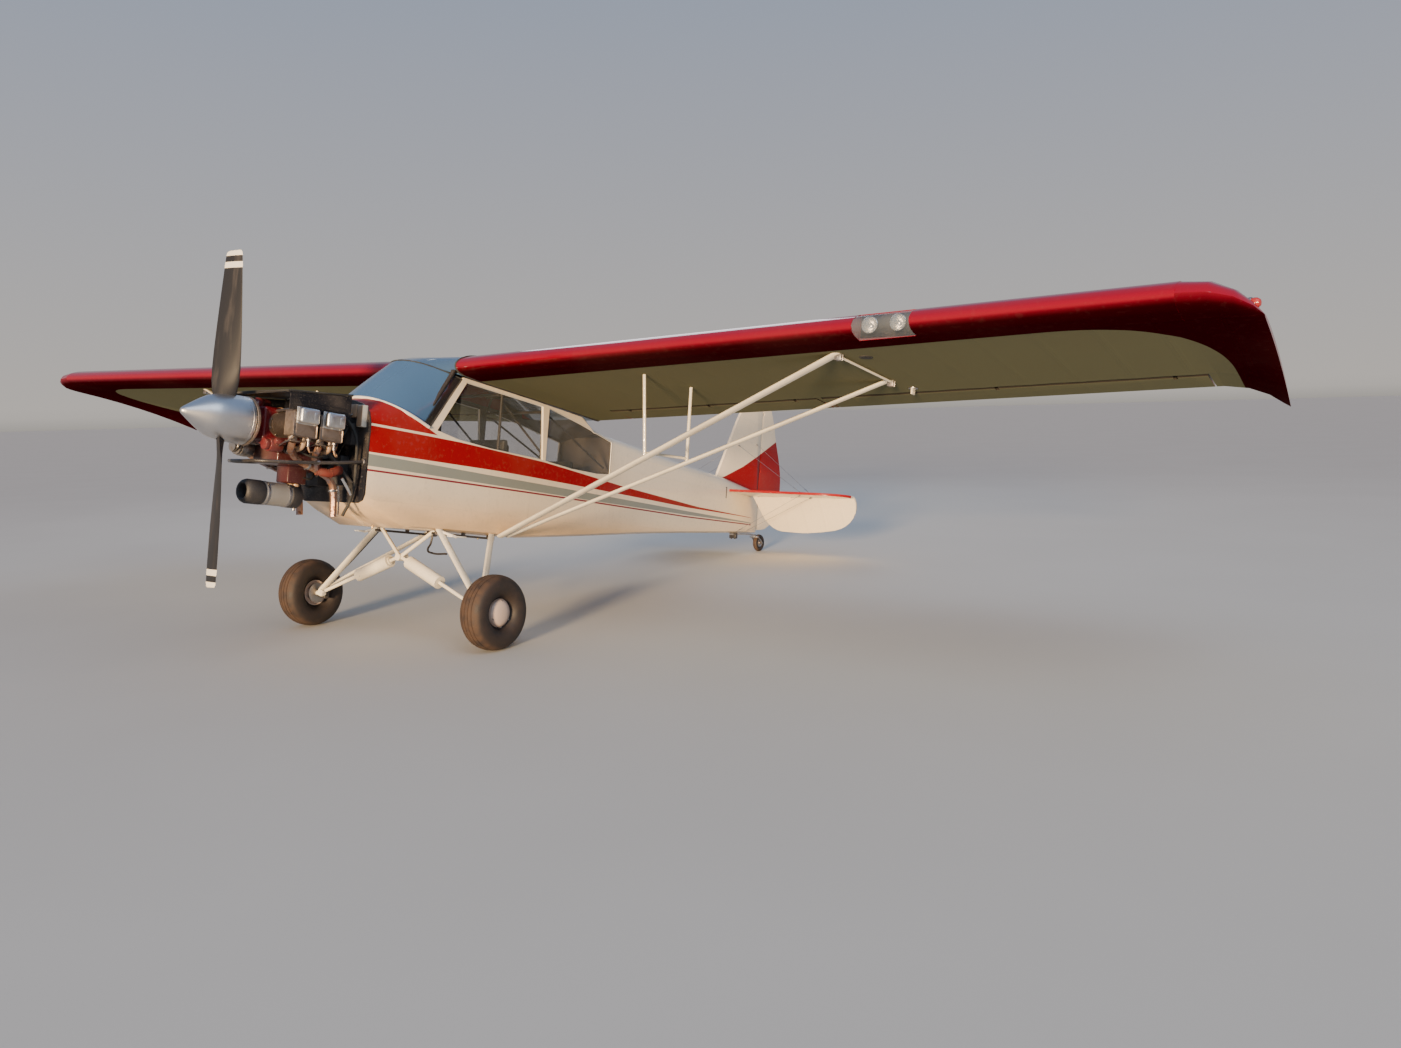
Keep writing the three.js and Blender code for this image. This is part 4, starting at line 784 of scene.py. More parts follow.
def leather(name, black=(0.02, 0.02, 0.022)):
    """Leather: a grain of small cells, paler where it is rubbed."""
    paint = Finish(name, black)
    grain = paint.node("ShaderNodeTexVoronoi", None, {"Vector": paint.level, "Scale": 250})
    rubbed = paint.noise(0.09, 5).above(0.55, 0.1) * 0.6
    paint.set(colour=paint.mix(rubbed, black, (0.07, 0.062, 0.055)), rough=grain * 0.2 + 0.42)
    paint.bump(grain, 0.0006)


def plastic(name, colour, rough=0.6):
    """Moulded plastic or rubber, a little dusty."""
    paint = Finish(name, colour)
    paint.set(colour=paint.wear(colour, grime=(0.2, 0.18, 0.15), amount=0.3, size=0.15),
              rough=paint.noise(0.02, 3) * 0.2 + (rough - 0.1))
    paint.bump(paint.noise(0.0012, 1), 0.00015)


POST_SLOPE = 0.693


def window(name, tint, alpha, rough=0.04, edge=0):
    """Thin clear sheet: mostly a mirror for the sky, with scratches that catch the light."""
    paint = Finish(name, tint, coat=1)
    x, y, z = paint.parts()
    ahead = (z - SCUTTLE_Z) * POST_SLOPE - y + SCUTTLE_Y
    shade = ahead.below(edge, 0.012) * abs(x).above(0.24, 0.04) * y.below(0.09)
    scratches = paint.noise(0.004, 2, paint.stretched(1, 0.12, 1)).above(0.66, 0.05)
    paint.set(colour=paint.mix(shade, tint, (0.02, 0.02, 0.022)), rough=scratches * 0.15 + rough,
              alpha=scratches * 0.12 + paint.noise(0.3, 4) * 0.12 + (alpha - 0.06))
    paint.material.surface_render_method = "BLENDED"


WHEEL, TAIL_WHEEL = (UNLEAN @ Vector(joint(j)["pos_m"]) for j in ("wheel_port_spin", "tailwheel_spin"))
hot_pipe("hot_pipe")
blade_paint("blade_paint")
tyre_rubber("tyre_rubber", WHEEL, 0.25)
tyre_rubber("tail_tyre", TAIL_WHEEL, 0.092)
canvas("boot_canvas", (0.74, 0.68, 0.53))
canvas("belt_webbing", (0.1, 0.1, 0.11), weave=0.0016)
leather("black_leather")
plastic("black_plastic", (0.03, 0.03, 0.034))
plastic("black_rubber", (0.02, 0.02, 0.02), rough=0.8)
plastic("grey_drum", (0.27, 0.27, 0.265), rough=0.55)
plastic("duct_red", (0.17, 0.022, 0.012), rough=0.75)
plastic("dial_face", (0.015, 0.015, 0.015), rough=0.4)
plastic("dial_white", (0.75, 0.75, 0.72), rough=0.5)
plastic("cable_tan", (0.5, 0.3, 0.17), rough=0.6)
plastic("red_lens", (0.32, 0.004, 0.008), rough=0.2)
plastic("green_lens", (0.01, 0.22, 0.06), rough=0.2)
window("side_window", (0.2, 0.22, 0.21), 0.13)
window("windscreen_plastic", (0.07, 0.15, 0.29), 0.78, rough=0.03, edge=0.065)
window("roof_window", (0.08, 0.15, 0.26), 0.8)
window("lamp_lens", (0.26, 0.31, 0.36), 0.24)
print("finishes:", len(Finish.made))

# %% [markdown]
# ## Skins for the pieces that already have the right shape
# The frame's solids are exact but faceted. For panels, struts and tail surfaces it is enough to
# take a copy, merge its doubled corners, round the edges a real sheet or tube would have, and
# shade it smooth up to a crease angle. The copy then stands for the solid.

# %% Fuselage, struts, tail and gear
SKINS = (  # paint, crease angle, bevel, rows in the bevel, pieces
    ("fuselage_livery", 28, 0, 2, "boot_cowl belly_panel side_panel_port side_panel_starboard "
                                  "turtledeck tail_cone door_lower door_upper"),
    ("wing_paint", 45, 0, 2, "wing_tip_port wing_tip_starboard"),
    ("wing_paint", 30, 0, 2, "flap_port flap_starboard aileron_port aileron_starboard"),
    ("fin_paint", 40, 0.009, 4, "fin rudder"),
    ("stabiliser_paint", 40, 0.008, 4, "stabiliser elevator"),
    ("cream_tube", 40, 0, 2, "wing_strut_front_port wing_strut_rear_port gear_leg_port cabane "
                             "wing_strut_front_starboard wing_strut_rear_starboard gear_leg_starboard"),
    ("hot_pipe", 50, 0, 2, "exhaust_port exhaust_starboard"),
    ("steel", 35, 0.0015, 2, "tailwheel_fork"),
    ("steel", 35, 0, 2, "tail_spring"),
    ("black_tube", 70, 0, 2, "engine_mount cowl_rail"),
    ("black_sheet", 35, 0.002, 2, "firewall"),
    ("sump_paint", 40, 0.012, 3, "oil_sump"),
    ("black_sheet", 30, 0, 2, "cooling_baffle"),
    ("frame_tube", 70, 0, 2, "cabin_frame"),
    ("black_plastic", 40, 0, 2, "cabin_floor"),
    ("black_plastic", 30, 0.002, 2, "instrument_panel"),
    ("side_window", 20, 0, 2, "side_window_front_port side_window_rear_port door_window "
                              "side_window_rear_starboard side_window_middle_starboard"),
    ("windscreen_plastic", 40, 0, 2, "windscreen"),
    ("roof_window", 30, 0, 2, "skylight"),
    ("lamp_lens", 60, 0, 2, "landing_light"))

for paint, crease, bevel, rows, nodes in SKINS:
    for node in nodes.split():
        dressed(node, paint, crease, bevel, rows)

# %% [markdown]
# ## Wing skins
# A wing shell is one outline carried along the span. The outline comes from the frame wing's root
# corners, passed through a smooth closed curve, and is extruded outwards rib by rib. Between two
# ribs the fabric sinks a little, which is what breaks up the reflections on a fabric wing, so every
# second ring of points is drawn in slightly behind the metal leading edge. The bays for the flap
# and the aileron, and on the port side the lamp, are then cut out.

# %% Wing shells
FABRIC_FROM, FABRIC_TO, FABRIC_SAG = 0.26, 1.58, 0.0035
TIP_RIB = 5
BAY_WALL = 1.3
BAYS = ((0.7, 2.5), (2.53, 4.96))
LAMP_BAY = (3.374, 3.705, 0.12)
WING_SLOPE, WING_UNDER = -0.049, 0.53
DIHEDRAL = math.tan(math.radians(1.5))


def under_wing(x, y):
    return WING_UNDER + WING_SLOPE * y + DIHEDRAL * abs(x)


def round_middle(points):
    """Points in order round their middle, seen along the wing, and the middle."""
    middle = sum(points, Vector()) / len(points)
    return sorted(points, key=lambda p: math.atan2(p.z - middle.z, p.y - middle.y)), middle


root = min(p.x for p in level_points("wing_port"))
corners = {(round(p.y, 5), round(p.z, 5)) for p in level_points("wing_port") if abs(p.x - root) < 1e-4}
ROOT_RING = round_middle([Vector((root, y, z)) for y, z in corners])[0]

bezier("wing_port_shell", bpy.ops.curve.primitive_bezier_circle_add, ROOT_RING,
       lambda point: "VECTOR" if point.y > 1.59 else "AUTO", True, 5)
bpy.ops.object.convert(target="MESH")
wing = latest("wing_port_shell")
stops = [root]
rib = math.ceil(root / RIB_PITCH) * RIB_PITCH
while rib < TIP_RIB - 0.1:
    stops += [(stops[-1] + rib) / 2, rib]
    rib += RIB_PITCH
stops += [(stops[-1] + TIP_RIB) / 2, TIP_RIB]
with editing(wing):
    bpy.ops.mesh.select_mode(type="EDGE")
    for here, there in zip(stops, stops[1:]):
        step = there - here
        bpy.ops.mesh.extrude_edges_move(TRANSFORM_OT_translate={"value": (step, 0, step * DIHEDRAL)})
sagging = stops[1:-1:2]
for vertex in wing.data.vertices:
    x, y, z = vertex.co
    if min(abs(x - stop) for stop in sagging) < 1e-4 and y > FABRIC_FROM:
        part = min(1, (y - FABRIC_FROM) / 0.15) * min(1, max(0, (FABRIC_TO - y) / 0.2))
        upper = z > under_wing(x, y) + 0.02
        vertex.co.z += FABRIC_SAG * part * (-1 if upper else 0.6)
with editing(wing):
    pick(wing, "edges", lambda e: e.is_boundary)
    bpy.ops.mesh.fill_holes(sides=0)
    bpy.ops.mesh.select_all(action="SELECT")
    bpy.ops.mesh.normals_make_consistent(inside=False)
for inner, outer in BAYS:
    carved(wing, block("bay", (inner, BAY_WALL, 0.2), (outer, 1.7, 1)))
other = copied(wing, "wing_starboard_shell", mirror=True)
carved(wing, block("lamp_bay", (LAMP_BAY[0], -0.1, 0.2), (LAMP_BAY[1], LAMP_BAY[2], 1)))
for shell, side in ((wing, "port"), (other, "starboard")):
    seat(shell, "wing_paint", "wing_" + side, crease=38)
print("wing shell:", len(wing.data.polygons), "faces,", len(stops) // 2, "rib bays")

# %% [markdown]
# ## Propeller and spinner
# A blade is a lofted shape: one cambered section is extruded outwards again and again, and each
# time it is untwisted, resized and twisted back to the next station's angle. Near the hub the
# section is thick and steep, and at the square tip thin and flat. The spinner is turned on a
# lathe, then slotted for the blades, and the starter's ring gear sits right behind it.

# %% Blades, hub, spinner and ring gear
PROP_LEAN = -0.035
BLADE = (  # reach, chord, thickness, angle in degrees
    (0.03, 0.084, 0.06, 54), (0.09, 0.11, 0.052, 47), (0.15, 0.142, 0.041, 40), (0.22, 0.169, 0.033, 32),
    (0.29, 0.186, 0.027, 25), (0.4, 0.189, 0.022, 21), (0.52, 0.184, 0.018, 18), (0.64, 0.176, 0.015, 15),
    (0.76, 0.164, 0.012, 13), (0.86, 0.153, 0.01, 11), (0.94, 0.143, 0.009, 10), (0.985, 0.135, 0.008, 9.3),
    (1.004, 0.126, 0.0075, 9), (1.013, 0.112, 0.006, 9), (1.016, 0.088, 0.004, 9))
SPIN = {"body": "propeller_body"}


def blade(name, grow):
    """One blade pointing up from the hub, its rounded front edge towards starboard."""
    only()
    bpy.ops.mesh.primitive_circle_add(vertices=28, radius=0.5, fill_type="NGON",
                                      location=(0, 0, BLADE[0][0]))
    piece = latest(name)
    for vertex in piece.data.vertices:
        forward = min(1, (vertex.co.x + 0.5) / 0.35)
        vertex.co.y *= 0.3 + 0.7 * forward ** 0.5 * (1 - 0.55 * max(0, vertex.co.x + 0.1))
        vertex.co.y *= 1.15 if vertex.co.y < 0 else 0.8
    with editing(piece):
        last = (BLADE[0][0], 1, 1, 0)
        for reach, chord, thick, angle in BLADE:
            if reach > last[0]:
                bpy.ops.mesh.extrude_region_move(TRANSFORM_OT_translate={"value": (0, 0, reach - last[0])})
            about = {"orient_axis": "Z", "center_override": (0, 0, reach)}
            size = ((chord + grow) / last[1], (thick + grow) / last[2], 1)
            bpy.ops.transform.rotate(value=math.radians(last[3]), **about)
            bpy.ops.transform.resize(value=size, center_override=(0, 0, reach))
            bpy.ops.transform.rotate(value=-math.radians(angle), **about)
            last = (reach, chord + grow, thick + grow, angle)
        bpy.ops.mesh.select_all(action="SELECT")
        bpy.ops.mesh.normals_make_consistent(inside=False)
        bpy.ops.transform.translate(value=(0, PROP_Y, 0))
    return piece


def blade_pair(name, grow=0):
    """Two opposite blades; grown a little, they are the cutter for the spinner's slots."""
    first = blade(name + "_first", grow)
    pair = [copied(first, name, turn=(angle, "Y", (0, PROP_Y, 0)))
            for angle in (PROP_LEAN, math.pi + PROP_LEAN)]
    bpy.data.objects.remove(first)
    return joined(name, pair)


slots = blade_pair("spinner_slots", grow=0.007)
shell = carved(turned("spinner_shell", [
    (-1.742, 0), (-1.7415, 0.006), (-1.739, 0.013), (-1.733, 0.02), (-1.715, 0.033), (-1.69, 0.0495),
    (-1.655, 0.0725), (-1.615, 0.0975), (-1.58, 0.117), (-1.55, 0.128), (-1.51, 0.136), (-1.45, 0.1425),
    (-1.4, 0.1462), (-1.368, 0.147), (-1.367, 0.1462), (-1.365, 0.1462), (-1.364, 0.1472),
    (-1.347, 0.147), (-1.345, 0.1455), (-1.345, 0.05), (-1.35, 0)], steps=72), slots)
screw = drum("spinner_screw", (0, -1.3785, 0.14), (0, -1.3785, 0.1486), 0.0035, 0.0026, sides=10)
seat(shell, "spinner_metal", "spinner", crease=32, **SPIN)
seat(ringed("spinner_screws", screw, 20), "steel", "spinner", slot="bright_metal", **SPIN)

# A black disc fills the gap between the spinner and the ring gear: painted shadow in that gap.
shadow_gap = drum("spinner_bulkhead", (0, -1.346, 0), (0, -1.336, 0), 0.138, sides=48)
seat(shadow_gap, "black_rubber", "spinner", slot="bright_metal", **SPIN)
ring_gear = drum("ring_gear", (0, -1.3365, 0), (0, -1.319, 0), 0.1462, sides=180, bevel=0.001)
with editing(ring_gear):
    rim = [f for f in bmesh.from_edit_mesh(ring_gear.data).faces
           if len(f.verts) == 4 and abs(f.normal.y) < 0.1]
    rim.sort(key=lambda f: math.atan2(f.normal.x, f.normal.z))
    teeth = {f.index for f in rim[::2]}
    pick(ring_gear, "faces", lambda f: f.index in teeth)
    bpy.ops.mesh.extrude_faces_move(TRANSFORM_OT_shrink_fatten={"value": 0.0034})
seat(ring_gear, "ring_metal", "spinner", **SPIN)

blades = seat(blade_pair("propeller_blades"), "blade_paint", "propeller", crease=50, **SPIN)
bolt = drum("hub_bolt", (0, -1.548, 0.04), (0, -1.535, 0.04), 0.008, sides=6, bevel=0.001)
fit("propeller_hub", [drum("hub", (0, -1.536, 0), (0, -1.416, 0), 0.057, sides=40, bevel=0.006),
                      ringed("hub_bolts", bolt, 6),
                      drum("shaft", (0, -1.43, 0), (0, -1.334, 0), 0.031, sides=32)],
    "steel", "propeller", **SPIN)
print("propeller:", len(blades.data.polygons), "faces in its two blades")

# %% [markdown]
# ## Cylinders
# An air-cooled cylinder is a stack of thin cooling fins, because fins shed heat to the passing
# air. The barrel's fins are turned, and the head's are flat plates repeated by an array. One
# function models a cylinder in full, with its rocker cover, pushrod tubes, plugs, leads and intake
# pipe. It is called for the front and the rear row, and each row is mirrored to the other bank.

# %% One cylinder, then four
FRONT_CYLINDER, CYLINDER_PITCH = -1.16, 0.188
FIN_PITCH, FIN_THICK, FIN_EDGE = 0.0125, 0.0032, 0.0006
HARNESS = (0.068, -0.69, 0.06)


def bolted(name, places, direction, radius, height):
    """Hexagon bolt heads at several places, all facing one way."""
    step = Vector(direction) * height
    return joined(name, [drum(name, Vector(p), Vector(p) + step, radius, sides=6, bevel=radius * 0.15)
                         for p in places])


def clip(name, middle, along, radius, wide=0.01):
    """A worm-drive hose clip: a thin band with a little screw housing."""
    middle, along = Vector(middle), Vector(along).normalized()
    half, side = along * wide / 2, along.orthogonal().normalized()
    foot, half_screw = middle + side * (radius + 0.004), along.cross(side) * 0.008
    return joined(name, [drum(name, middle - half, middle + half, radius + 0.0014, sides=28, bevel=0.0006),
                         drum(name, foot - half_screw, foot + half_screw, 0.0042, sides=10)])


def one_cylinder(y):
    """The pieces of one port cylinder at this y, each with its paint."""
    profile = [(0.112, 0.06)]
    for i in range(13):
        start, fin = 0.118 + FIN_PITCH * i, 0.0795 if i > 1 else 0.072
        profile += [(start, 0.06), (start + FIN_EDGE, fin), (start + FIN_THICK - FIN_EDGE, fin),
                    (start + FIN_THICK, 0.06)]
    barrel = turned("barrel", profile + [(0.282, 0.06)], (0, y, 0), (1, 0, 0), steps=40)
    skirt = turned("skirt", [(0.1055, 0.001), (0.1055, 0.078), (0.114, 0.078), (0.116, 0.062)],
                   (0, y, 0), (1, 0, 0))
    core = block("head", (0.276, y - 0.07, -0.066), (0.361, y + 0.07, 0.07), 0.014, 3)
    plate = block("fin", (0.279, y - 0.0835, -0.078), (0.2822, y + 0.0835, 0.079), 0.01, 3)
    modified(plate, "ARRAY", count=7, use_relative_offset=False, use_constant_offset=True,
             constant_offset_displace=(FIN_PITCH, 0, 0))
    ports = [block("port", (0.268, y - 0.072, -0.11), (0.332, y - 0.008, -0.102), 0.003),
             block("port", (0.276, y + 0.018, -0.1), (0.324, y + 0.062, -0.093), 0.003),
             drum("stub", (0.3, y - 0.04, -0.06), (0.3, y - 0.04, -0.104), 0.027),
             drum("stub", (0.3, y + 0.04, -0.06), (0.3, y + 0.04, -0.096), 0.021)]

    screws = [(0.3655, y + aside, z) for aside in (-0.062, 0, 0.062) for z in (0.004, 0.094)]
    cover = [block("lid", (0.364, y - 0.066, 0.002), (0.411, y + 0.066, 0.097), 0.016, 4),
             block("seal", (0.359, y - 0.0705, -0.0025), (0.3655, y + 0.0705, 0.1005), 0.003),
             bolted("screws", screws, (1, 0, 0), 0.0055, 0.007)]
    cover += [block("boss", (0.372, y + s - 0.02, 0.02), (0.4128, y + s + 0.02, 0.08), 0.01, 3)
              for s in (-0.035, 0.035)]

    rods = [tube("pushrod_tube", [(0.104, y + s, 0.086), (0.3, y + s * 1.25, 0.0885),
                                  (0.372, y + s * 1.35, 0.075)], 0.0095, sides=3) for s in (-0.024, 0.03)]
    rods += [tube("oil_drain", [(0.35, y - 0.072, -0.03), (0.336, y - 0.074, -0.088),
                                (0.24, y - 0.066, -0.122), (0.126, y - 0.03, -0.15)], 0.0042),
             bolted("barrel_nuts", [(0.114, y + 0.07 * math.cos(a), 0.07 * math.sin(a))
                                    for a in (0.4, 1.2, 1.95, 2.75, 3.5, 4.3, 5.1, 5.9)],
                    (1, 0, 0), 0.007, 0.008)]

    inlet = y + 0.04
    pipe = tube("intake", [(0.3, inlet, -0.094), (0.292, inlet, -0.122), (0.262, inlet, -0.14),
                           (0.2, inlet, -0.15), (0.129, inlet, -0.152)], 0.0175, sides=4)
    hose = drum("hose", (0.134, inlet, -0.152), (0.176, inlet, -0.1512), 0.0205, bevel=0.002)
    clips = [clip("clip", (x, inlet, -0.1514), (1, 0, 0), 0.0205) for x in (0.143, 0.168)]

    plugs, leads = [], []
    for z, up in ((0.079, 1), (-0.078, -1)):
        foot, rise = Vector((0.322, y + 0.056, z)), Vector((0, 0, up))
        top = foot + rise * 0.046
        plugs += [drum("plug_hex", foot, foot + rise * 0.012, 0.0125, sides=6, bevel=0.001),
                  drum("plug_barrel", foot, foot + rise * 0.05, 0.0085, sides=16, bevel=0.001)]
        leads.append(tube("plug_lead", [top, top + Vector((0, 0.01, 0.026 * up)),
                                        top + Vector((-0.04, 0.06, 0.03 * up)), (0.21, -0.83, 0.11 * up),
                                        (0.12, -0.74, 0.08 * up), HARNESS], 0.0046))
    return {"finned_cylinder": ([barrel, skirt, core, plate] + ports, "head_metal"),
            "rocker_cover": (cover, "rocker_metal"), "pushrod_tubes": (rods, "steel"),
            "intake_pipe": ([pipe], "tan_part"), "intake_hose": ([hose], "black_rubber"),
            "intake_clips": (clips, "steel"), "spark_plugs": (plugs, "steel"),
            "plug_leads": (leads, "cable_tan")}


for row, y in (("front_", FRONT_CYLINDER), ("rear_", FRONT_CYLINDER + CYLINDER_PITCH)):
    for kind, (pieces, paint) in one_cylinder(y).items():
        slot = "engine_metal" if kind == "intake_pipe" else None
        both(row + kind + "_{}", pieces, paint, "cylinders_{}", slot=slot, crease=32)

# %% [markdown]
# ## Crankcase and what hangs on it
# The crankcase is two castings bolted together along the middle, so it has a raised seam with a row
# of nuts. The starter and the alternator hang below its front, the propeller's governor stands on
# top, and two magnetos with the ignition harness sit at the back.

# %% Crankcase, starter, alternator and magnetos
CASE_FRONT, CASE_REAR = -1.27, -0.8
MACHINE_FRONT, MACHINE_REAR = -1.262, -1.176
BELT_Y = -1.2915


def circle(centre, radius, angles):
    """Places round a centre, in an upright plane across the aircraft."""
    x, y, z = centre
    return [(x + radius * math.cos(a), y, z + radius * math.sin(a)) for a in angles]


def bar(name, x, z, start, end, radius, end_radius=None, **how):
    """A drum along the aircraft at this x and z, from one y to another."""
    return drum(name, (x, start, z), (x, end, z), radius, end_radius, **how)


nuts = [(0.011 * side, CASE_FRONT + 0.03 + 0.045 * i, 0.104) for i in range(10) for side in (-1, 1)]
nose_nuts = circle((0, -1.271, 0), 0.09, [math.pi * k / 5 for k in range(10)])
case = [block("case", (-0.105, CASE_FRONT, -0.11), (0.105, CASE_REAR, 0.105), 0.02, 4),
        block("seam", (-0.005, CASE_FRONT + 0.004, -0.112), (0.005, CASE_REAR - 0.01, 0.118), 0.002),
        block("rear_case", (-0.13, -0.812, -0.12), (0.13, -0.752, 0.09), 0.014, 3),
        block("accessory_cover", (-0.118, -0.754, -0.108), (0.118, -0.727, 0.078), 0.01, 3),
        turned("nose", [(-1.333, 0.034), (-1.333, 0.05), (-1.326, 0.054), (-1.3, 0.06), (-1.284, 0.072),
                        (-1.272, 0.1), (-1.258, 0.1), (-1.254, 0.09), (-1.25, 0)]),
        bolted("case_nuts", nuts, (0, 0, 1), 0.0065, 0.009),
        bolted("nose_nuts", nose_nuts, (0, -1, 0), 0.006, 0.008),
        drum("governor_foot", (0, -1.262, 0.1), (0, -1.236, 0.142), 0.04, 0.033, bevel=0.003),
        bar("governor", 0, 0.128, MACHINE_FRONT, MACHINE_REAR, 0.03, bevel=0.005),
        drum("filler", (-0.07, -0.86, 0.095), (-0.07, -0.86, 0.15), 0.017, bevel=0.002)]
case += [block("rib", (x, y - 0.003, -0.09), (x + 0.002, y + 0.003, 0.085), 0.0008)
         for x in (-0.1055, 0.1035) for y in (-1.255, -1.068, -0.88)]
fit("crankcase_castings", case, "engine_red", "crankcase", crease=40)

starter = [bar("starter", 0.15, -0.133, MACHINE_FRONT, MACHINE_REAR, 0.0415, sides=32, bevel=0.004),
           bar("starter_nose", 0.15, -0.133, -1.29, -1.26, 0.034, sides=32, bevel=0.004),
           block("starter_bracket", (0.02, -1.258, -0.128), (0.14, -1.178, -0.102), 0.004),
           bar("solenoid", 0.206, -0.112, -1.25, -1.184, 0.017, bevel=0.002),
           bolted("starter_bolts", circle((0.15, MACHINE_FRONT, -0.133), 0.03, (0.8, 2.4, 3.9, 5.5)),
                  (0, -1, 0), 0.005, 0.005)]
fit("starter_motor", starter, "engine_red", "crankcase")

ALTERNATOR_X, ALTERNATOR_Z = -0.15, -0.146
alternator = [bar(name, ALTERNATOR_X, ALTERNATOR_Z, start, end, radius, sides=40, bevel=bevel)
              for name, start, end, radius, bevel in (
                  ("alternator", MACHINE_FRONT, MACHINE_REAR, 0.0555, 0.006),
                  ("waist", -1.236, -1.206, 0.0575, 0.002), ("fan", -1.278, -1.266, 0.05, 0.001))]
alternator += [turned("pulley", [(-1.303, 0), (-1.303, 0.035), (-1.3, 0.035), (BELT_Y, 0.027),
                                 (-1.283, 0.035), (-1.28, 0.035), (-1.28, 0)],
                      (ALTERNATOR_X, 0, ALTERNATOR_Z)),
               block("alternator_bracket", (-0.14, -1.254, -0.128), (-0.02, -1.18, -0.104), 0.004)]
fit("alternator", alternator, "engine_metal", "crankcase")
belt = circle((ALTERNATOR_X, BELT_Y, ALTERNATOR_Z), 0.033, (3.3, 4, 4.7, 5.2))
belt += circle((0, BELT_Y, 0), 0.063, (-0.8, -0.1, 0.6, 1.3, 2, 2.3))
seat(tube("alternator_belt", belt, 0.0045, closed=True), "black_rubber", "crankcase")

magnetos = []
for x in (-0.068, 0.068):
    magnetos += [bar("magneto", x, 0.028, -0.729, -0.704, 0.0395, sides=32, bevel=0.004),
                 bar("magneto_cap", x, 0.028, -0.706, -0.676, 0.036, 0.031, sides=32, bevel=0.004)]
magnetos += [bar("oil_filter", 0, -0.072, -0.729, -0.668, 0.036, sides=32, bevel=0.006),
             bar("vacuum_pump", 0, 0.062, -0.729, -0.68, 0.026, bevel=0.004)]
fit("magnetos_and_filter", magnetos, "black_plastic", "crankcase", slot="engine_metal")

seal = [tube("seal", [(x, -1.274, 0.19), (x, -1.05, 0.2115), (x, -0.82, 0.2345)], 0.006, smooth=False)
        for x in (-0.336, 0.336)]
seal.append(tube("seal", [(-0.336, -1.275, 0.189), (0, -1.275, 0.192), (0.336, -1.275, 0.189)], 0.006))
fit("baffle_seal", seal, "black_rubber", "cooling_baffle", slot="dark_sheet")
rivets = [drum("rivet", (side * 0.3378, -1.255 + 0.0325 * i, z), (side * 0.3398, -1.255 + 0.0325 * i, z),
               0.0034, 0.0022, sides=8)
          for side in (-1, 1) for i in range(14) for z in (0.09, 0.165 + 0.0032 * i)]
rivets += [block("bead", (side * 0.3385 - 0.0015, -1.24, z), (side * 0.3385 + 0.0015, -0.85, z + 0.006),
                 0.0012) for side in (-1, 1) for z in (0.112, 0.138)]
fit("baffle_rivets", rivets, "black_sheet", "cooling_baffle")
print("engine pieces on the crankcase:", len(case) + len(starter) + len(alternator) + len(magnetos))

# %% [markdown]
# ## Round the engine
# Below hangs a grey canister with black end caps, and behind it the firewall carries boxes, bolts
# and hoses. Ribbed duct, typical of air-cooled engines, is a tube with a ring at every wire of its
# coil, so one small torus after another is added along its route.

# %% Canister, firewall boxes, ducts and hoses
CANISTER = (0, 0, -0.422)


def duct(name, points, radius, pitch=0.012):
    """A ribbed duct: a tube with rings along it."""
    pieces = [tube(name, points, radius, sides=4)]
    for a, b in zip(map(Vector, points), map(Vector, points[1:])):
        turn, length = (b - a).to_track_quat("Z", "Y").to_euler(), (b - a).length
        for k in range(int(length / pitch)):
            only()
            bpy.ops.mesh.primitive_torus_add(
                location=a.lerp(b, k * pitch / length), rotation=turn, major_segments=24,
                minor_segments=6, major_radius=radius, minor_radius=0.0022)
            pieces.append(latest(name))
    return joined(name, pieces)


drum_body = bar("canister_body", 0, CANISTER[2], -1.182, -0.998, 0.0735, sides=56)
seat(drum_body, "grey_drum", "muffler_drum")
front_cap = [(-1.262, 0), (-1.262, 0.04), (-1.304, 0.046), (-1.309, 0.052), (-1.307, 0.06), (-1.296, 0.07),
             (-1.278, 0.0765), (-1.19, 0.0765), (-1.182, 0.073), (-1.182, 0)]
rear_cap = [(-0.998, 0), (-0.998, 0.072), (-0.992, 0.0765), (-0.93, 0.0765), (-0.92, 0.07), (-0.918, 0)]
caps = [turned("cap", profile, CANISTER, steps=56) for profile in (front_cap, rear_cap)]
fit("canister_caps", caps, "black_plastic", "muffler_drum")
bands = [clip("band", (0, y, CANISTER[2]), (0, 1, 0), 0.0745, 0.014) for y in (-1.165, -1.014)]
bands += [drum("drain", (0, -0.934, -0.495), (0, -0.934, -0.513), 0.011, bevel=0.002)]
fit("canister_bands", bands, "steel", "muffler_drum")
fitting = [drum("neck", (0, -0.97, -0.362), (0, -0.97, -0.345), 0.03, bevel=0.002),
           drum("elbow", (0.028, -0.953, -0.368), (0.028, -0.953, -0.33), 0.02, bevel=0.003),
           drum("collar", (0, -0.97, -0.3525), (0, -0.97, -0.346), 0.036, sides=6, bevel=0.002)]
fit("canister_fitting", fitting, "tan_part", "muffler_drum")

for name, paint, boxes in (
        ("relay_box", "cream_tube", [((0.243, -0.701, 0.059), (0.297, -0.66, 0.201), 0.004)]),
        ("relay_plate", "tan_part", [((0.246, -0.704, 0.063), (0.294, -0.699, 0.197), 0.002),
                                     ((0.18, -0.706, 0.12), (0.236, -0.66, 0.206), 0.005)]),
        ("firewall_boxes", "black_plastic", [((0.149, -0.721, -0.061), (0.227, -0.659, 0.081), 0.006),
                                             ((-0.151, -0.741, -0.331), (-0.039, -0.659, -0.149), 0.005),
                                             ((0.029, -0.726, -0.321), (0.151, -0.659, -0.129), 0.005)])):
    fit(name, [block("box", *box) for box in boxes], paint, "firewall", slot="dark_sheet")
studs = [(side * x, -0.663, z) for side in (-1, 1) for x, z in (
    (0.225, 0.165), (0.225, -0.33), (0.3, 0.1), (0.306, -0.02), (0.306, -0.14), (0.3, -0.26), (0.12, 0.235))]
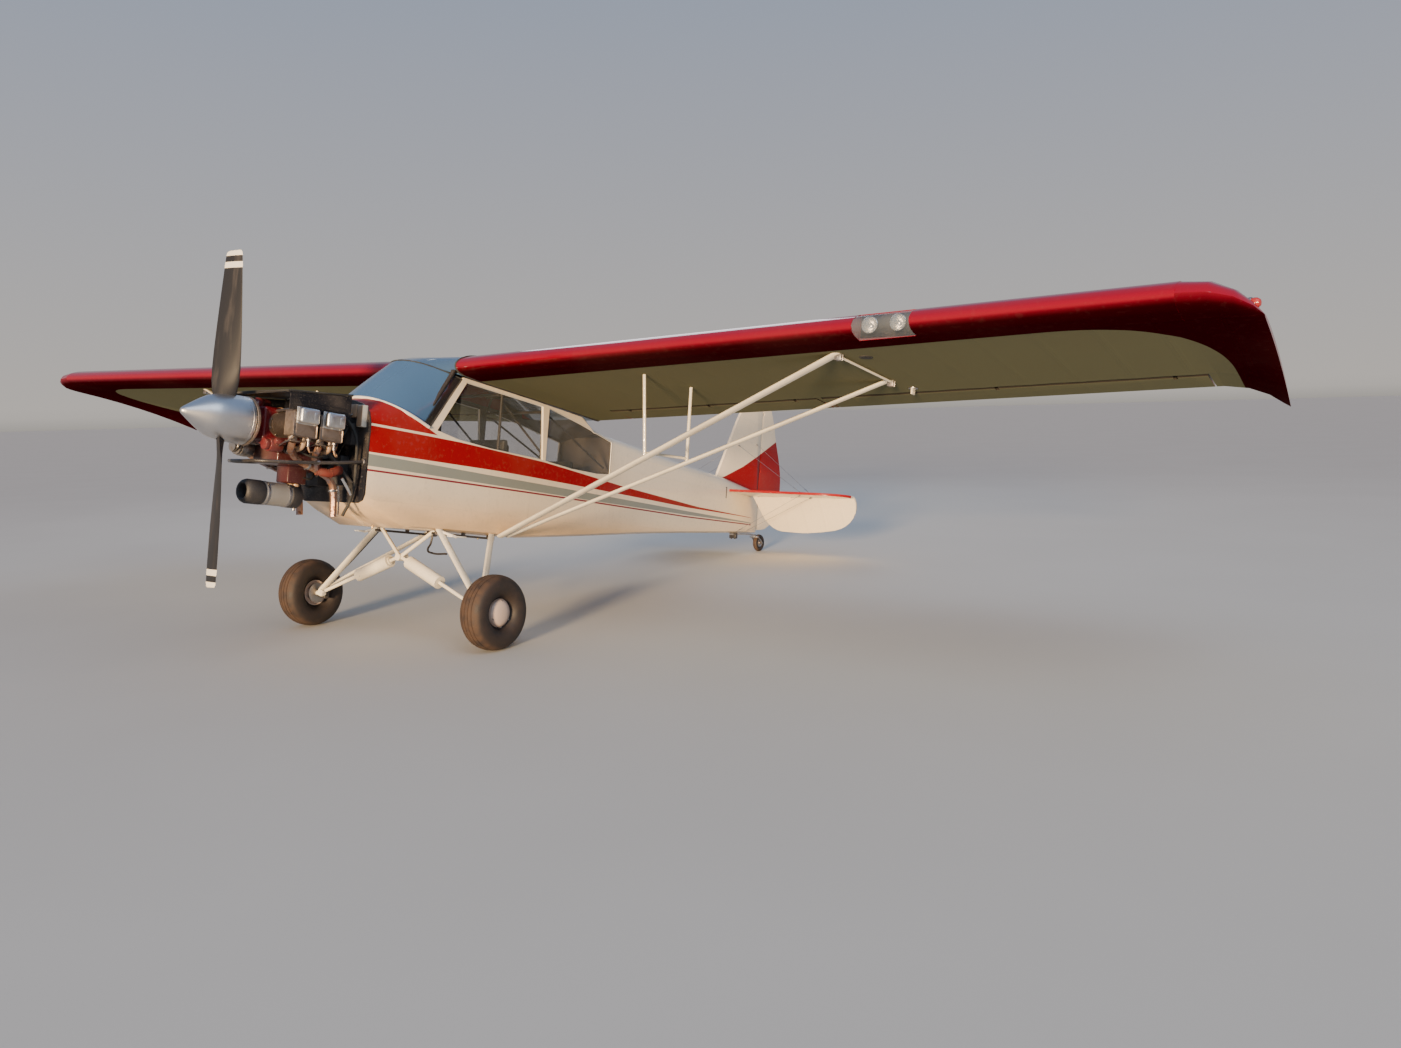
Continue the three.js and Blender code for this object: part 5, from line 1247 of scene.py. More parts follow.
seat(bolted("firewall_bolts", studs, (0, -1, 0), 0.007, 0.006), "steel", "firewall")
for side, label in ((-1, "starboard"), (1, "port")):
    rubber = [drum("rubber", (side * x, -0.668, z), (side * x * 0.965, -0.69, z * 0.97), 0.022, bevel=0.004)
              for x, z in ((0.225, 0.165), (0.225, -0.33))]
    rubber += [drum("rubber", (side * 0.112, -0.846, z - 0.012), (side * 0.112, -0.846, z + 0.012), 0.024,
                    bevel=0.004) for z in (0.07, -0.08)]
    fit("mount_rubbers_" + label, rubber, "black_rubber", "engine_mount")

ducts = [duct("heat_duct", [(0.188, -0.93, -0.255), (0.215, -0.85, -0.262), (0.2, -0.77, -0.235),
                            (0.12, -0.728, -0.225)], 0.026),
         duct("cooler_duct", [(-0.25, -0.83, 0.12), (-0.262, -0.79, 0.02), (-0.23, -0.76, -0.12),
                              (-0.11, -0.742, -0.23)], 0.028)]
fit("ribbed_ducts", ducts, "duct_red", "exhaust_port")


def lines(name, paint, routes):
    """Thin pipes and cables: for each, its radius, sides and points."""
    fit(name, [tube("line", points, radius, sides=sides) for radius, sides, *points in routes],
        paint, "engine_mount")
    return len(routes)


hoses = lines("engine_hoses", "black_rubber", (
    (0.009, 3, (-0.06, -0.741, -0.18), (-0.07, -0.79, -0.13), (-0.02, -0.775, -0.08), (0, -0.7, -0.078)),
    (0.01, 3, (0, -0.812, 0.098), (0.12, -0.77, 0.13), (0.262, -0.73, 0.03), (0.288, -0.712, -0.18),
     (0.255, -0.7, -0.4), (0.2, -0.712, -0.52)),
    (0.007, 3, (-0.04, -0.663, -0.02), (-0.07, -0.76, -0.11), (0.05, -0.86, -0.3), (0.058, -0.93, -0.3)),
    (0.0065, 3, (0.19, -0.722, 0.05), (0.24, -0.8, -0.02), (0.262, -0.98, -0.175), (0.206, -1.18, -0.112)),
    (0.0035, 2, (0.1, -0.663, -0.04), (0.125, -0.76, -0.17), (0.08, -0.845, -0.285))))
lines("bright_lines", "bright_metal", (
    (0.009, 3, (0.3, -0.819, -0.288), (0.3, -0.78, -0.335), (0.292, -0.735, -0.385)),
    (0.0028, 2, (0.18, -0.663, 0.04), (0.2, -0.78, 0.07), (0.285, -0.86, -0.03), (0.3, -0.905, -0.088)),
    (0.006, 3, (0.15, -0.725, -0.33), (0.15, -0.712, -0.42), (0.15, -0.706, -0.518))))
clips = [drum("rail_foot", (side * 0.3, -0.663, -0.165), (side * 0.3, -0.675, -0.166), 0.022, bevel=0.002)
         for side in (-1, 1)]
clips += [drum("rail_clip", (side * 0.2835, -0.985, -0.2085), (side * 0.2815, -1.003, -0.2105), 0.0155)
          for side in (-1, 1)]
fit("rail_clips", clips, "steel", "cowl_rail")
clamps = [clip("clamp", (side * x, y, z), (side * across, *way), 0.0235, 0.014)
          for side in (-1, 1) for x, y, z, across, *way in (
              (0.1935, -1, -0.2315, 0.06, -1, 0.3), (0.178, -0.789, -0.365, 0.04, -0.29, 1))]
fit("exhaust_clamps", clamps, "steel", "exhaust_port", "exhaust_starboard")
print("round the engine:", hoses, "hoses and cables,", len(ducts), "ducts")

# %% [markdown]
# ## Wheels
# A tyre is turned like a pot: bead, sidewall, shoulder, grooved tread, and back down the other
# side. Its sidewalls bulge past the rim, so the hub cap sits in a shallow well. The brake disc
# turns with the wheel, and the caliper that grips it stays with the leg.

# %% Tyres, hubs and brakes
SIDEWARD = (1, 0, 0)
ON_WHEEL = {"body": "wheel_{}", "crease": 38}


def tyre_profile(half, low, high, rim, grooves, cut, power=0.85):
    """From bead to bead over the tread, as (along the axle, radius)."""
    middle, tall = (low + high) / 2, (high - low) / 2

    def crown(x):
        lean = math.acos((abs(x) / half) ** (1 / power))
        return middle + tall * math.sin(lean) ** power

    wall = []
    for degrees in range(-60, 61, 6):
        lean = math.radians(degrees)
        up = math.copysign(abs(math.sin(lean)) ** power, lean)
        wall.append((half * math.cos(lean) ** power, middle + tall * up))
    tread = [(groove + aside, crown(groove + aside) - depth) for groove in grooves
             for aside, depth in ((cut, 0), (cut * 0.6, cut), (-cut * 0.6, cut), (-cut, 0))]
    bead = half * 0.42
    return [(bead, rim)] + wall + tread + [(-x, r) for x, r in reversed(wall)] + [(-bead, rim), (bead, rim)]


def near_wheel(x, y, z):
    return WHEEL + Vector((x, y, z))


tyre = turned("tyre", tyre_profile(0.098, 0.1, 0.2492, 0.0924, (0.043, 0.015, -0.015, -0.043), 0.0045),
              WHEEL, SIDEWARD, steps=80)
wheel = turned("wheel", [
    (-0.0705, 0.0186), (-0.0705, 0.046), (-0.044, 0.05), (-0.042, 0.08), (-0.05, 0.0885), (-0.05, 0.0935),
    (-0.047, 0.0945), (-0.041, 0.0915), (0.041, 0.0915), (0.047, 0.0945), (0.05, 0.0935), (0.049, 0.0905),
    (0.054, 0.09), (0.062, 0.085), (0.072, 0.07), (0.079, 0.048), (0.0825, 0.025), (0.0835, 0),
    (0.078, 0), (0.078, 0.0186), (-0.0705, 0.0186)], WHEEL, SIDEWARD, steps=56)
cap_screw = drum("cap_screw", near_wheel(0.06, 0, 0.08), near_wheel(0.07, 0, 0.08), 0.005, 0.004, sides=10)
rim_bolt = drum("rim_bolt", near_wheel(-0.043, 0, 0.066), near_wheel(-0.052, 0, 0.066), 0.006, sides=6)
bolts = [ringed("cap_screws", cap_screw, 3, "X", WHEEL),
         drum("valve", near_wheel(0.05, 0, -0.097), near_wheel(0.075, 0, -0.09), 0.004, sides=10),
         ringed("rim_bolts", rim_bolt, 6, "X", WHEEL)]
disc = turned("disc", [(-0.0765, 0.0215), (-0.0765, 0.074), (-0.0755, 0.0755), (-0.0715, 0.0755),
                       (-0.0705, 0.074), (-0.0705, 0.0215), (-0.0765, 0.0215)], WHEEL, SIDEWARD, steps=56)
caliper = [block("caliper", near_wheel(-0.118, 0.034, -0.04), near_wheel(-0.084, 0.074, 0.04), 0.007, 3),
           block("torque_plate", near_wheel(-0.113, -0.02, -0.024), near_wheel(-0.106, 0.06, 0.024), 0.002),
           bolted("caliper_bolts", [near_wheel(-0.118, 0.054, z) for z in (-0.026, 0.026)], (-1, 0, 0),
                  0.006, 0.006)]
both("tyre_{}_rubber", [tyre], "tyre_rubber", "tyre_{}", **ON_WHEEL)
both("wheel_{}_hub", [wheel], "hub_metal", "hub_{}", **ON_WHEEL)
both("wheel_{}_bolts", bolts, "steel", "hub_{}", **ON_WHEEL)
both("brake_disc_{}", [disc], "steel", "hub_{}", **ON_WHEEL)
both("brake_{}", caliper, "black_tube", "gear_leg_{}", crease=38)

small_tyre = turned("tail_tyre", tyre_profile(0.0255, 0.046, 0.0912, 0.0448, (0.0085, -0.0085), 0.0018),
                    TAIL_WHEEL, SIDEWARD, steps=56)
small_hub = turned("tail_hub", [
    (-0.022, 0.0078), (-0.022, 0.018), (-0.012, 0.02), (-0.012, 0.04), (-0.016, 0.0446), (0.016, 0.0446),
    (0.012, 0.04), (0.012, 0.02), (0.022, 0.018), (0.022, 0.0078), (-0.022, 0.0078)],
                   TAIL_WHEEL, SIDEWARD, steps=40)
for piece, paint in ((small_tyre, "tail_tyre"), (small_hub, "steel")):
    seat(piece, paint, "tailwheel", body="tail_wheel", crease=38)
print("tyre:", len(tyre.data.polygons), "faces, hub:", len(wheel.data.polygons))

# %% [markdown]
# ## Landing gear and belly
# Each wheel's leg is held by a strut with a bundle of elastic cord inside a laced canvas boot. The
# boot is turned with soft folds and a tie at each end. Under the belly are two small foot steps,
# a hook for towing, and a dark strip along each lower edge.

# %% Boots, brake pipes, steps and belly
BOOT_HIGH, BOOT_LOW = Vector((0.02, -0.037, -0.764)), Vector((0.817, -0.037, -1.067))
BOOT_WAY = (BOOT_LOW - BOOT_HIGH).normalized()
CANVAS_CUT, CANVAS_THICK = (0.24, 0.365), 0.0012

folds = [(0.078, 0.0142), (0.079, 0.026), (0.086, 0.03), (0.094, 0.0285), (0.102, 0.033)]
folds += [(0.112 + 0.0145 * i, 0.0365 + 0.00028 * i + 0.0016 * math.sin(i * 2.2)) for i in range(20)]
folds += [(0.402, 0.0435), (0.411, 0.0395), (0.419, 0.0425), (0.425, 0.036), (0.427, 0.0142)]
boot = turned("boot", folds, BOOT_HIGH, BOOT_WAY, steps=36)
modified(boot, "SUBSURF", levels=1, render_levels=1)
modified(boot, "SOLIDIFY", thickness=CANVAS_THICK, offset=-1)
boots = both("gear_boot_{}", [boot], "boot_canvas", "cabane", crease=60)
ties, lace = [], []
for along, radius in ((0.094, 0.03), (0.411, 0.041)):
    only()
    bpy.ops.mesh.primitive_torus_add(
        location=BOOT_HIGH + BOOT_WAY * along, rotation=BOOT_WAY.to_track_quat("Z", "Y").to_euler(),
        major_segments=32, minor_segments=8, major_radius=radius, minor_radius=0.0024)
    ties.append(latest("boot_tie"))
aside = Vector((0, 1, 0))
behind = BOOT_WAY.cross(aside).normalized()
for i in range(15):
    radius, turn = 0.0392 + 0.00036 * i, math.radians(-32 + (9 if i % 2 else -9))
    lace.append(BOOT_HIGH + BOOT_WAY * (0.115 + 0.0195 * i)
                - aside * radius * math.cos(turn) + behind * radius * math.sin(turn))
ties.append(tube("boot_lace", lace, 0.0016, smooth=False))
for canvas_sleeve, cords in zip(boots, both("boot_ties_{}", ties, "belt_webbing", "cabane")):
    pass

pipe = tube("pipe", [(0.322, 0.046, -0.57), (0.56, 0.02, -0.8), (0.78, -0.008, -1.008),
                     (0.822, 0.02, -1.03), (0.836, 0.052, -1.052)], 0.0036)
both("brake_pipe_{}", [pipe], "black_rubber", "gear_leg_{}", slot="dark_tube")
fittings = []
for y in (0.015, 0.536):
    fittings += [block("gear_lug", (0.29, y - 0.016, -0.592), (0.322, y - 0.01, -0.545), 0.002),
                 block("gear_lug", (0.29, y + 0.01, -0.592), (0.322, y + 0.016, -0.545), 0.002),
                 bolted("gear_bolt", [(0.306, y - 0.016, -0.578)], (0, -1, 0), 0.008, 0.008)]
fittings += [bolted("strut_bolt", [(0.344, y - 0.012, -0.553)], (0, -1, 0), 0.0085, 0.009)
             for y in (0.605, 0.668)]
both("gear_fittings_{}", fittings, "steel", "gear_leg_{}")
steps = [tube("step_arm", [(0.3, 0.02, -0.556), (0.4, 0.022, -0.58), (0.48, 0.025, -0.596)], 0.009, sides=3),
         block("step_tread", (0.456, -0.042, -0.599), (0.51, 0.092, -0.588), 0.0045)]
both("foot_step_{}", steps, "white_trim", "belly_panel", slot="cream_tube")
strips = [block("edge_strip", (0.286, -0.03, -0.588), (0.3, 0.56, -0.572), 0.003)]
strips += [block("strip_foot", (0.286, y, -0.576), (0.3, y + 0.03, -0.555), 0.002) for y in (0, 0.25, 0.5)]
both("edge_strip_{}", strips, "black_tube", "belly_panel")
hook = [tube("hook", [(0, 0.25, -0.552), (0, 0.236, -0.65), (0, 0.214, -0.7), (0, 0.25, -0.716),
                      (0, 0.4, -0.716)], 0.0075, sides=3),
        block("tow_plate", (-0.03, 0.215, -0.576), (0.03, 0.285, -0.56), 0.003)]
fit("tow_hook", hook, "black_tube", "belly_panel")
drains = [drum("drain_cock", (x, y, -0.56), (x, y, -0.585), 0.007, sides=12, bevel=0.001)
          for x, y in ((0.12, -0.4), (-0.16, 0.86))]
fit("belly_drains", drains, "brass", "belly_panel")
print("boot:", len(boot.data.polygons), "faces")

# %% [markdown]
# ## Trim round the glass
# Every sheet of plastic in the cabin is held at its edge. A fat white bead follows the foot of the
# windscreen, thin dark seals close its sides and the seam with the roof, and each side window has
# a screwed cream frame. The routes are read from the frame: of each pair of corners through a
# sheet's thickness, the outer one is kept.

# %% Beads, seals and window frames
def outer_rim(node, test=lambda p: True):
    """The corners of a thin sheet that pass the test, on its outer face only."""
    points = {tuple(round(c, 5) for c in p) for p in level_points(node)}
    points = [Vector(p) for p in points if test(Vector(p))]
    middle = sum(points, Vector()) / len(points)
    middle.x = 0
    return [p for p in points
            if not any((q - p).length < 0.009 and (q - middle).length > (p - middle).length for q in points)]


def windscreen_edge(height, near):
    """The windscreen's outer corners near a line whose height is a sum of x and y."""
    return sorted(outer_rim("windscreen", lambda p: abs(p.z - height(p)) < near), key=lambda p: p.x)


foot = windscreen_edge(lambda p: scuttle(p.y), 0.005)
brow = windscreen_edge(lambda p: 0.606 - 0.094 * abs(p.x / 0.346) ** 2.4, 0.0065)
bead = tube("windscreen_bead", [p + Vector((p.x * 0.012, -0.004, 0.004)) for p in foot], 0.0115, sides=4)
seat(bead, "white_trim", crease=60)
seals = [tube("post_seal", [foot[end], brow[end]], 0.006) for end in (0, -1)]
seals.append(tube("brow_seal", brow, 0.0045))
seals += [tube("root_seal", [Vector((x, p.y, p.z)) for p in ROOT_RING], 0.0065, closed=True)
          for x in (-0.3555, 0.3555)]
fit("cabin_seals", seals, "black_rubber", slot="clear_plastic", crease=60)


def window_frame(node, body="airframe", screw_pitch=0.085):
    """A half-round frame round a side window, with a screw every so often."""
    ring, middle = round_middle(outer_rim(node))
    way = Vector((math.copysign(1, middle.x), 0, 0))
    pieces = [tube("frame", [p + way * 0.0005 for p in ring], 0.0045, smooth=False, closed=True)]
    for here, there in zip(ring, ring[1:] + ring[:1]):
        count = int((there - here).length / screw_pitch)
        for k in range(count):
            place = here.lerp(there, (k + 0.5) / count)
            place += (place - middle).normalized() * 0.01
            pieces.append(drum("screw", place, place + way * 0.0025, 0.0032, 0.0022, sides=8))
    fit(node + "_frame", pieces, "white_trim", body=body, crease=50)
    return len(pieces) - 1


screws = sum(window_frame("side_window_" + place) for place in (
    "front_port", "rear_port", "rear_starboard", "middle_starboard"))
screws += window_frame("door_window", "door_upper_body")
print("windscreen foot:", len(foot), "corners; window screws:", screws)

# %% [markdown]
# ## Cabin
# Little of the cabin shows from outside: the tops of the seats, the sticks and the panel. Two tubes
# brace the windscreen from inside. The dials are turned bezels with a white needle, and the stick
# rises from a pleated boot.

# %% Panel, sticks, pedals and tubes
DIAL_Y, DIAL_Z, DIAL_PITCH = -0.3, 0.094, 0.086
bezels, faces, needles = [], [], []
for i in range(6):
    x = (i - 2.5) * DIAL_PITCH
    centre = Vector((x, DIAL_Y, DIAL_Z))
    bezels.append(turned("bezel", [(0, 0.03), (0, 0.0395), (0.008, 0.0395), (0.011, 0.037), (0.01, 0.0335),
                                   (0.0075, 0.032), (0.0075, 0.03), (0, 0.03)], centre, steps=32))
    faces.append(bar("face", x, DIAL_Z, DIAL_Y - 0.002, DIAL_Y + 0.005, 0.0312, sides=32))
    mark = block("mark", centre + Vector((-0.0009, 0.005, 0.022)), centre + Vector((0.0009, 0.0056, 0.028)))
    hand = block("hand", centre + Vector((-0.0012, 0.0056, -0.005)), centre + Vector((0.0012, 0.0066, 0.022)))
    needles += [ringed("marks", mark, 8, "Y", centre),
                copied(hand, "needle", turn=(math.radians(-130 + 47 * i), "Y", centre))]
    bpy.data.objects.remove(hand)
bezels.append(turned("compass", [(0, 0), (0, 0.026), (0.012, 0.03), (0.03, 0.03), (0.04, 0.022), (0.044, 0)],
                     (0, -0.335, 0.168), (0, 0, 1), steps=32))
for name, pieces, paint in (("dial_bezels", bezels, "black_plastic"), ("dial_faces", faces, "dial_face"),
                            ("dial_needles", needles, "dial_white")):
    fit(name, pieces, paint, crease=40)

grips, pleats = [], []
for y in (0.11, 0.96):
    base, head = Vector((0, y, -0.415)), Vector((0, y + 0.04, -0.09))
    way = (head - base).normalized()
    grips.append(turned("grip", [(-0.112, 0.0112), (-0.112, 0.017), (-0.104, 0.0185), (-0.085, 0.0155),
                                 (-0.06, 0.018), (-0.035, 0.016), (-0.012, 0.0185), (0.002, 0.0175),
                                 (0.009, 0.012), (0.011, 0)], head, way, steps=28))
    folds = [(-0.036 + 0.0065 * k, 0.058 - 0.0042 * k + (0.004 if k % 2 else -0.001)) for k in range(10)]
    pleats.append(turned("pleats", folds + [(0.026, 0.0112)], base, way, steps=32))
fit("stick_grips", grips, "black_rubber", crease=40)
fit("stick_boots", pleats, "black_leather", crease=60)
pedals = []
for x in (-0.15, 0.15):
    pedals += [tube("pedal", [(x - 0.05, -0.345, -0.43), (x - 0.05, -0.385, -0.3), (x + 0.05, -0.385, -0.3),
                              (x + 0.05, -0.345, -0.43)], 0.0085, smooth=False, sides=3),
               drum("pedal_bar", (x - 0.062, -0.385, -0.3), (x + 0.062, -0.385, -0.3), 0.013, bevel=0.002)]
throttle = [block("quadrant", (0.325, 0.04, -0.11), (0.346, 0.18, -0.06), 0.006, 3),
            drum("lever", (0.334, 0.11, -0.085), (0.322, 0.085, -0.01), 0.0045),
            drum("knob", (0.324, 0.089, -0.02), (0.32, 0.08, 0.008), 0.014, 0.012, bevel=0.004)]
fit("pedals_and_throttle", pedals + throttle, "black_tube", crease=40)
POST_FOOT, POST_HEAD, ROOF_REAR = (0.322, -0.232, 0.15), (0.318, 0.024, 0.56), (0.322, 0.56, 0.56)
posts = [tube("post", [(side * x, y, z) for x, y, z in ends], radius, sides=4)
         for ends, radius in (((POST_FOOT, POST_HEAD), 0.016), ((POST_HEAD, ROOF_REAR), 0.012))
         for side in (-1, 1)]
posts.append(tube("brow_tube", [(-0.318, 0.024, 0.56), POST_HEAD], 0.012, sides=4))
fit("windscreen_tubes", posts, "frame_tube", crease=50)
print("dials:", len(faces), "pedals:", len(pedals) // 2)

# %% [markdown]
# ## Seats
# A seat is a tube frame with two padded pieces. A pad starts as a rounded block a little smaller
# than the real one. It is remeshed into an even skin, the skin is held along its sewn lines, and
# Blender's cloth blows it up like a cushion, so the panels crown between the seams. Then the
# cloth is applied, and piping is laid along the seams that stayed put.

# %% Padded seats
PAD_FRAMES, VOXEL = 16, 0.0075
SEAM_IN, SEAM_WIDE = 0.012, 0.004


def pad(name, low, high, thin, channels, cap=0.012):
    """A padded cushion. `thin` is the axis through it, and channels are seams across it at z or y."""
    low, high = Vector(low), Vector(high)
    cushion = block(name, low, high, 0.016, 3)
    modified(cushion, "REMESH", mode="VOXEL", voxel_size=VOXEL)
    along = 1 if thin == 2 else 2
    rims = (low[thin] + SEAM_IN, high[thin] - SEAM_IN)

    def sewn(p):
        edge = min(abs(p[thin] - rim) for rim in rims) < SEAM_WIDE
        side = min(p.x - low.x, high.x - p.x, p[along] - low[along], high[along] - p[along]) < 0.009
        face = min(abs(p[thin] - low[thin]), abs(p[thin] - high[thin])) < SEAM_WIDE
        return (edge and side) or (face and min(abs(p[along] - c) for c in channels) < SEAM_WIDE)

    held = [v.index for v in cushion.data.vertices if sewn(v.co)]
    start = [v.co.copy() for v in cushion.data.vertices]
    only(cushion)
    cushion.vertex_groups.new(name="held").add(held, 1, "REPLACE")
    cloth = cushion.modifiers.new("cloth", "CLOTH")
    cloth.settings.vertex_group_mass = "held"
    cloth.settings.use_pressure = True
    cloth.settings.uniform_pressure_force = 4
    cloth.settings.effector_weights.gravity = 0
    cloth.collision_settings.use_collision = False
    for moment in range(1, PAD_FRAMES + 1):
        bpy.context.scene.frame_set(moment)
    bpy.ops.object.modifier_apply(modifier="cloth")
    bpy.context.scene.frame_set(1)
    cushion.vertex_groups.clear()
    for vertex, rest in zip(cushion.data.vertices, start):
        move = vertex.co - rest
        vertex.co = rest + move * min(1, cap / max(move.length, 1e-6))
    modified(cushion, "SUBSURF", levels=1, render_levels=1)
    return cushion


def piping(low, high, thin, inset=0.016):
    """Two thin cords along the edges where the faces of a pad are sewn to its sides."""
    ends, along, cords = (Vector(low), Vector(high)), 1 if thin == 2 else 2, []
    for level in (low[thin] + SEAM_IN, high[thin] - SEAM_IN):
        route = []
        for u, v in ((0, 1), (0, 0), (1, 0), (1, 1)):
            corner = Vector((ends[u].x, 0, 0))
            corner[along], corner[thin] = ends[v][along], level
            down, across = corner.copy(), corner.copy()
            down[along] += (1 - 2 * v) * inset
            across.x += (1 - 2 * u) * inset
            route += (down, across) if (u + v) % 2 else (across, down)
        cords.append(tube("cord", route, 0.003, closed=True, smooth=False))
    return cords


def seat_set(node, y, wide, top):
    """Cushion, back, piping and frame of one seat whose cushion starts at this y."""
    base = ((-wide + 0.014, y + 0.012, -0.24), (wide - 0.014, y + 0.36, -0.18))
    back = ((-wide + 0.016, y + 0.378, -0.226), (wide - 0.016, y + 0.43, top - 0.01))
    third = (back[1][2] - back[0][2]) / 3
    soft = [pad(node + "_cushion", *base, 2, (y + 0.13, y + 0.25)),
            pad(node + "_back", *back, 1, (back[0][2] + third, back[1][2] - third))]
    for piece in soft:
        seat(piece, "black_leather", node, crease=180)
    fit(node + "_piping", piping(*base, 2) + piping(*back, 1), "black_plastic", node,
        slot="black_leather", crease=60)
    half, pan, rear = wide - 0.03, -0.256, y + 0.39
    arch = [(half, rear, pan), (half, y + 0.44, -0.1), (half, y + 0.44, top - 0.06),
            (half - 0.04, y + 0.44, top - 0.016)]
    bits = [tube("pan", [(-half, y + 0.03, pan), (half, y + 0.03, pan), (half, rear, pan),
                         (-half, rear, pan)], 0.009, smooth=False, closed=True, sides=3)]
    bits += [drum("leg", (x, y + at, -0.438), (x, y + at, pan), 0.0095, sides=16)
             for x in (-half, half) for at in (0.04, 0.39)]
    bits.append(tube("arch", [(-x, deep, z) for x, deep, z in arch] + arch[::-1], 0.0085,
                     smooth=False, sides=3))
    fit(node + "_frame", bits, "frame_tube", node, slot="black_leather", crease=50)
    return soft


cushions = seat_set("front_seat", 0.33, 0.2, 0.19) + seat_set("rear_seat", 1.09, 0.21, 0.12)
print("pads:", [len(c.data.polygons) for c in cushions])

# %% [markdown]
# ## Wing fittings and lamps
# The struts end in forked plates with a bolt through, and a thin brace ties their two upper ends
# together. Behind the clear nose of the lamp bay sit two round reflectors. A tip carries a coloured
# lamp, red to port and green to starboard, and the fuel goes in under a cap on top.

# %% Reflectors, tip lamps, caps and strut ends
LAMP_XS, LAMP_Z = (3.458, 3.622), 0.684
FUEL_CAP = (1, 0.62)
STRUT_TOPS = (Vector((3.16, 0.32, 0.59)), Vector((3.197, 0.985, 0.56)))
TIE_X, TIE_Y = 3.248, 1.195


def wing_top(x, y):
    """Height of the wing's upper skin at a place, from its root outline."""
    ring = sorted((p for p in ROOT_RING if p.z > under_wing(root, p.y) + 0.03), key=lambda p: p.y)
    for here, there in zip(ring, ring[1:]):
        if here.y <= y <= there.y:
            part = (y - here.y) / (there.y - here.y)
            return here.z + (there.z - here.z) * part + (x - root) * DIHEDRAL


bowls, bulbs = [], []
for x in LAMP_XS:
    centre = (x, 0, LAMP_Z + (x - LAMP_XS[0]) * DIHEDRAL)
    bowls.append(turned("bowl", [(0.05, 0.045), (0.052, 0.047), (0.06, 0.044), (0.082, 0.034), (0.1, 0.018),
                                 (0.104, 0), (0.1, 0), (0.096, 0.016), (0.079, 0.031), (0.058, 0.041),
                                 (0.05, 0.045)], centre, steps=40))
    bulbs.append(turned("bulb", [(0.052, 0), (0.053, 0.03), (0.056, 0.04), (0.06, 0.04), (0.06, 0)],
                        centre, steps=40))
fit("lamp_bowls", bowls, "bright_metal", "landing_light")
fit("lamp_glasses", bulbs, "lamp_lens", "landing_light")
shelf = block("lamp_shelf", (3.38, 0.108, 0.628), (3.699, 0.1185, 0.752), 0.001)
seat(shelf, "black_sheet", "landing_light")

lens_shape = [(-0.006, 0), (-0.006, 0.0235), (0.006, 0.0255), (0.018, 0.024), (0.03, 0.016), (0.035, 0)]
plinth_shape = [(-0.026, 0), (-0.026, 0.028), (-0.008, 0.029), (-0.004, 0.0265), (-0.004, 0)]
for side, way, colour in (("port", 1, "red_lens"), ("starboard", -1, "green_lens")):
    for kind, shape, paint in (("tip_lamp_", lens_shape, colour), ("tip_plinth_", plinth_shape, "steel")):
        seat(turned(kind + side, shape, (way * 5.3, 0.225, 0.702), (way, -0.25, 0), steps=28), paint)

high = wing_top(*FUEL_CAP)
cap = turned("cap", [(-0.004, 0), (-0.004, 0.048), (0.003, 0.048), (0.005, 0.04), (0.006, 0.036),
                     (0.016, 0.034), (0.019, 0.03), (0.019, 0)], (*FUEL_CAP, high), (0, 0, 1), steps=36)
grip = block("cap_grip", (0.974, 0.615, high + 0.018), (1.026, 0.625, high + 0.026), 0.002)
both("fuel_cap_{}", [cap, grip], "bright_metal", "wing_{}")

ends = []
for top in STRUT_TOPS:
    ends += [block("strut_fork", top + Vector((-0.03, aside, -0.03)),
                   top + Vector((0.012, aside + 0.003, 0.008)), 0.001) for aside in (-0.016, 0.013)]
    ends.append(drum("strut_bolt", top + Vector((-0.016, -0.022, -0.012)),
                     top + Vector((-0.016, 0.022, -0.012)), 0.0055, sides=6))
skin = under_wing(TIE_X, TIE_Y)
ends.append(drum("hook_plate", (TIE_X, TIE_Y, skin - 0.004), (TIE_X, TIE_Y, skin + 0.002), 0.03))
both("strut_ends_{}", ends, "steel", "wing_strut_front_{}")
lug = block("lug", (3.242, 1.17, skin - 0.042), (3.254, 1.22, skin + 0.006), 0.003)
eye = drum("eye", (3.2, TIE_Y, skin - 0.028), (3.3, TIE_Y, skin - 0.028), 0.0075, sides=20)
both("tie_down_lug_{}", [carved(lug, eye)], "cream_tube", "wing_{}", slot="steel")
brace = [STRUT_TOPS[0] + Vector((0, 0.03, -0.012)), STRUT_TOPS[1] + Vector((0, -0.026, -0.006))]
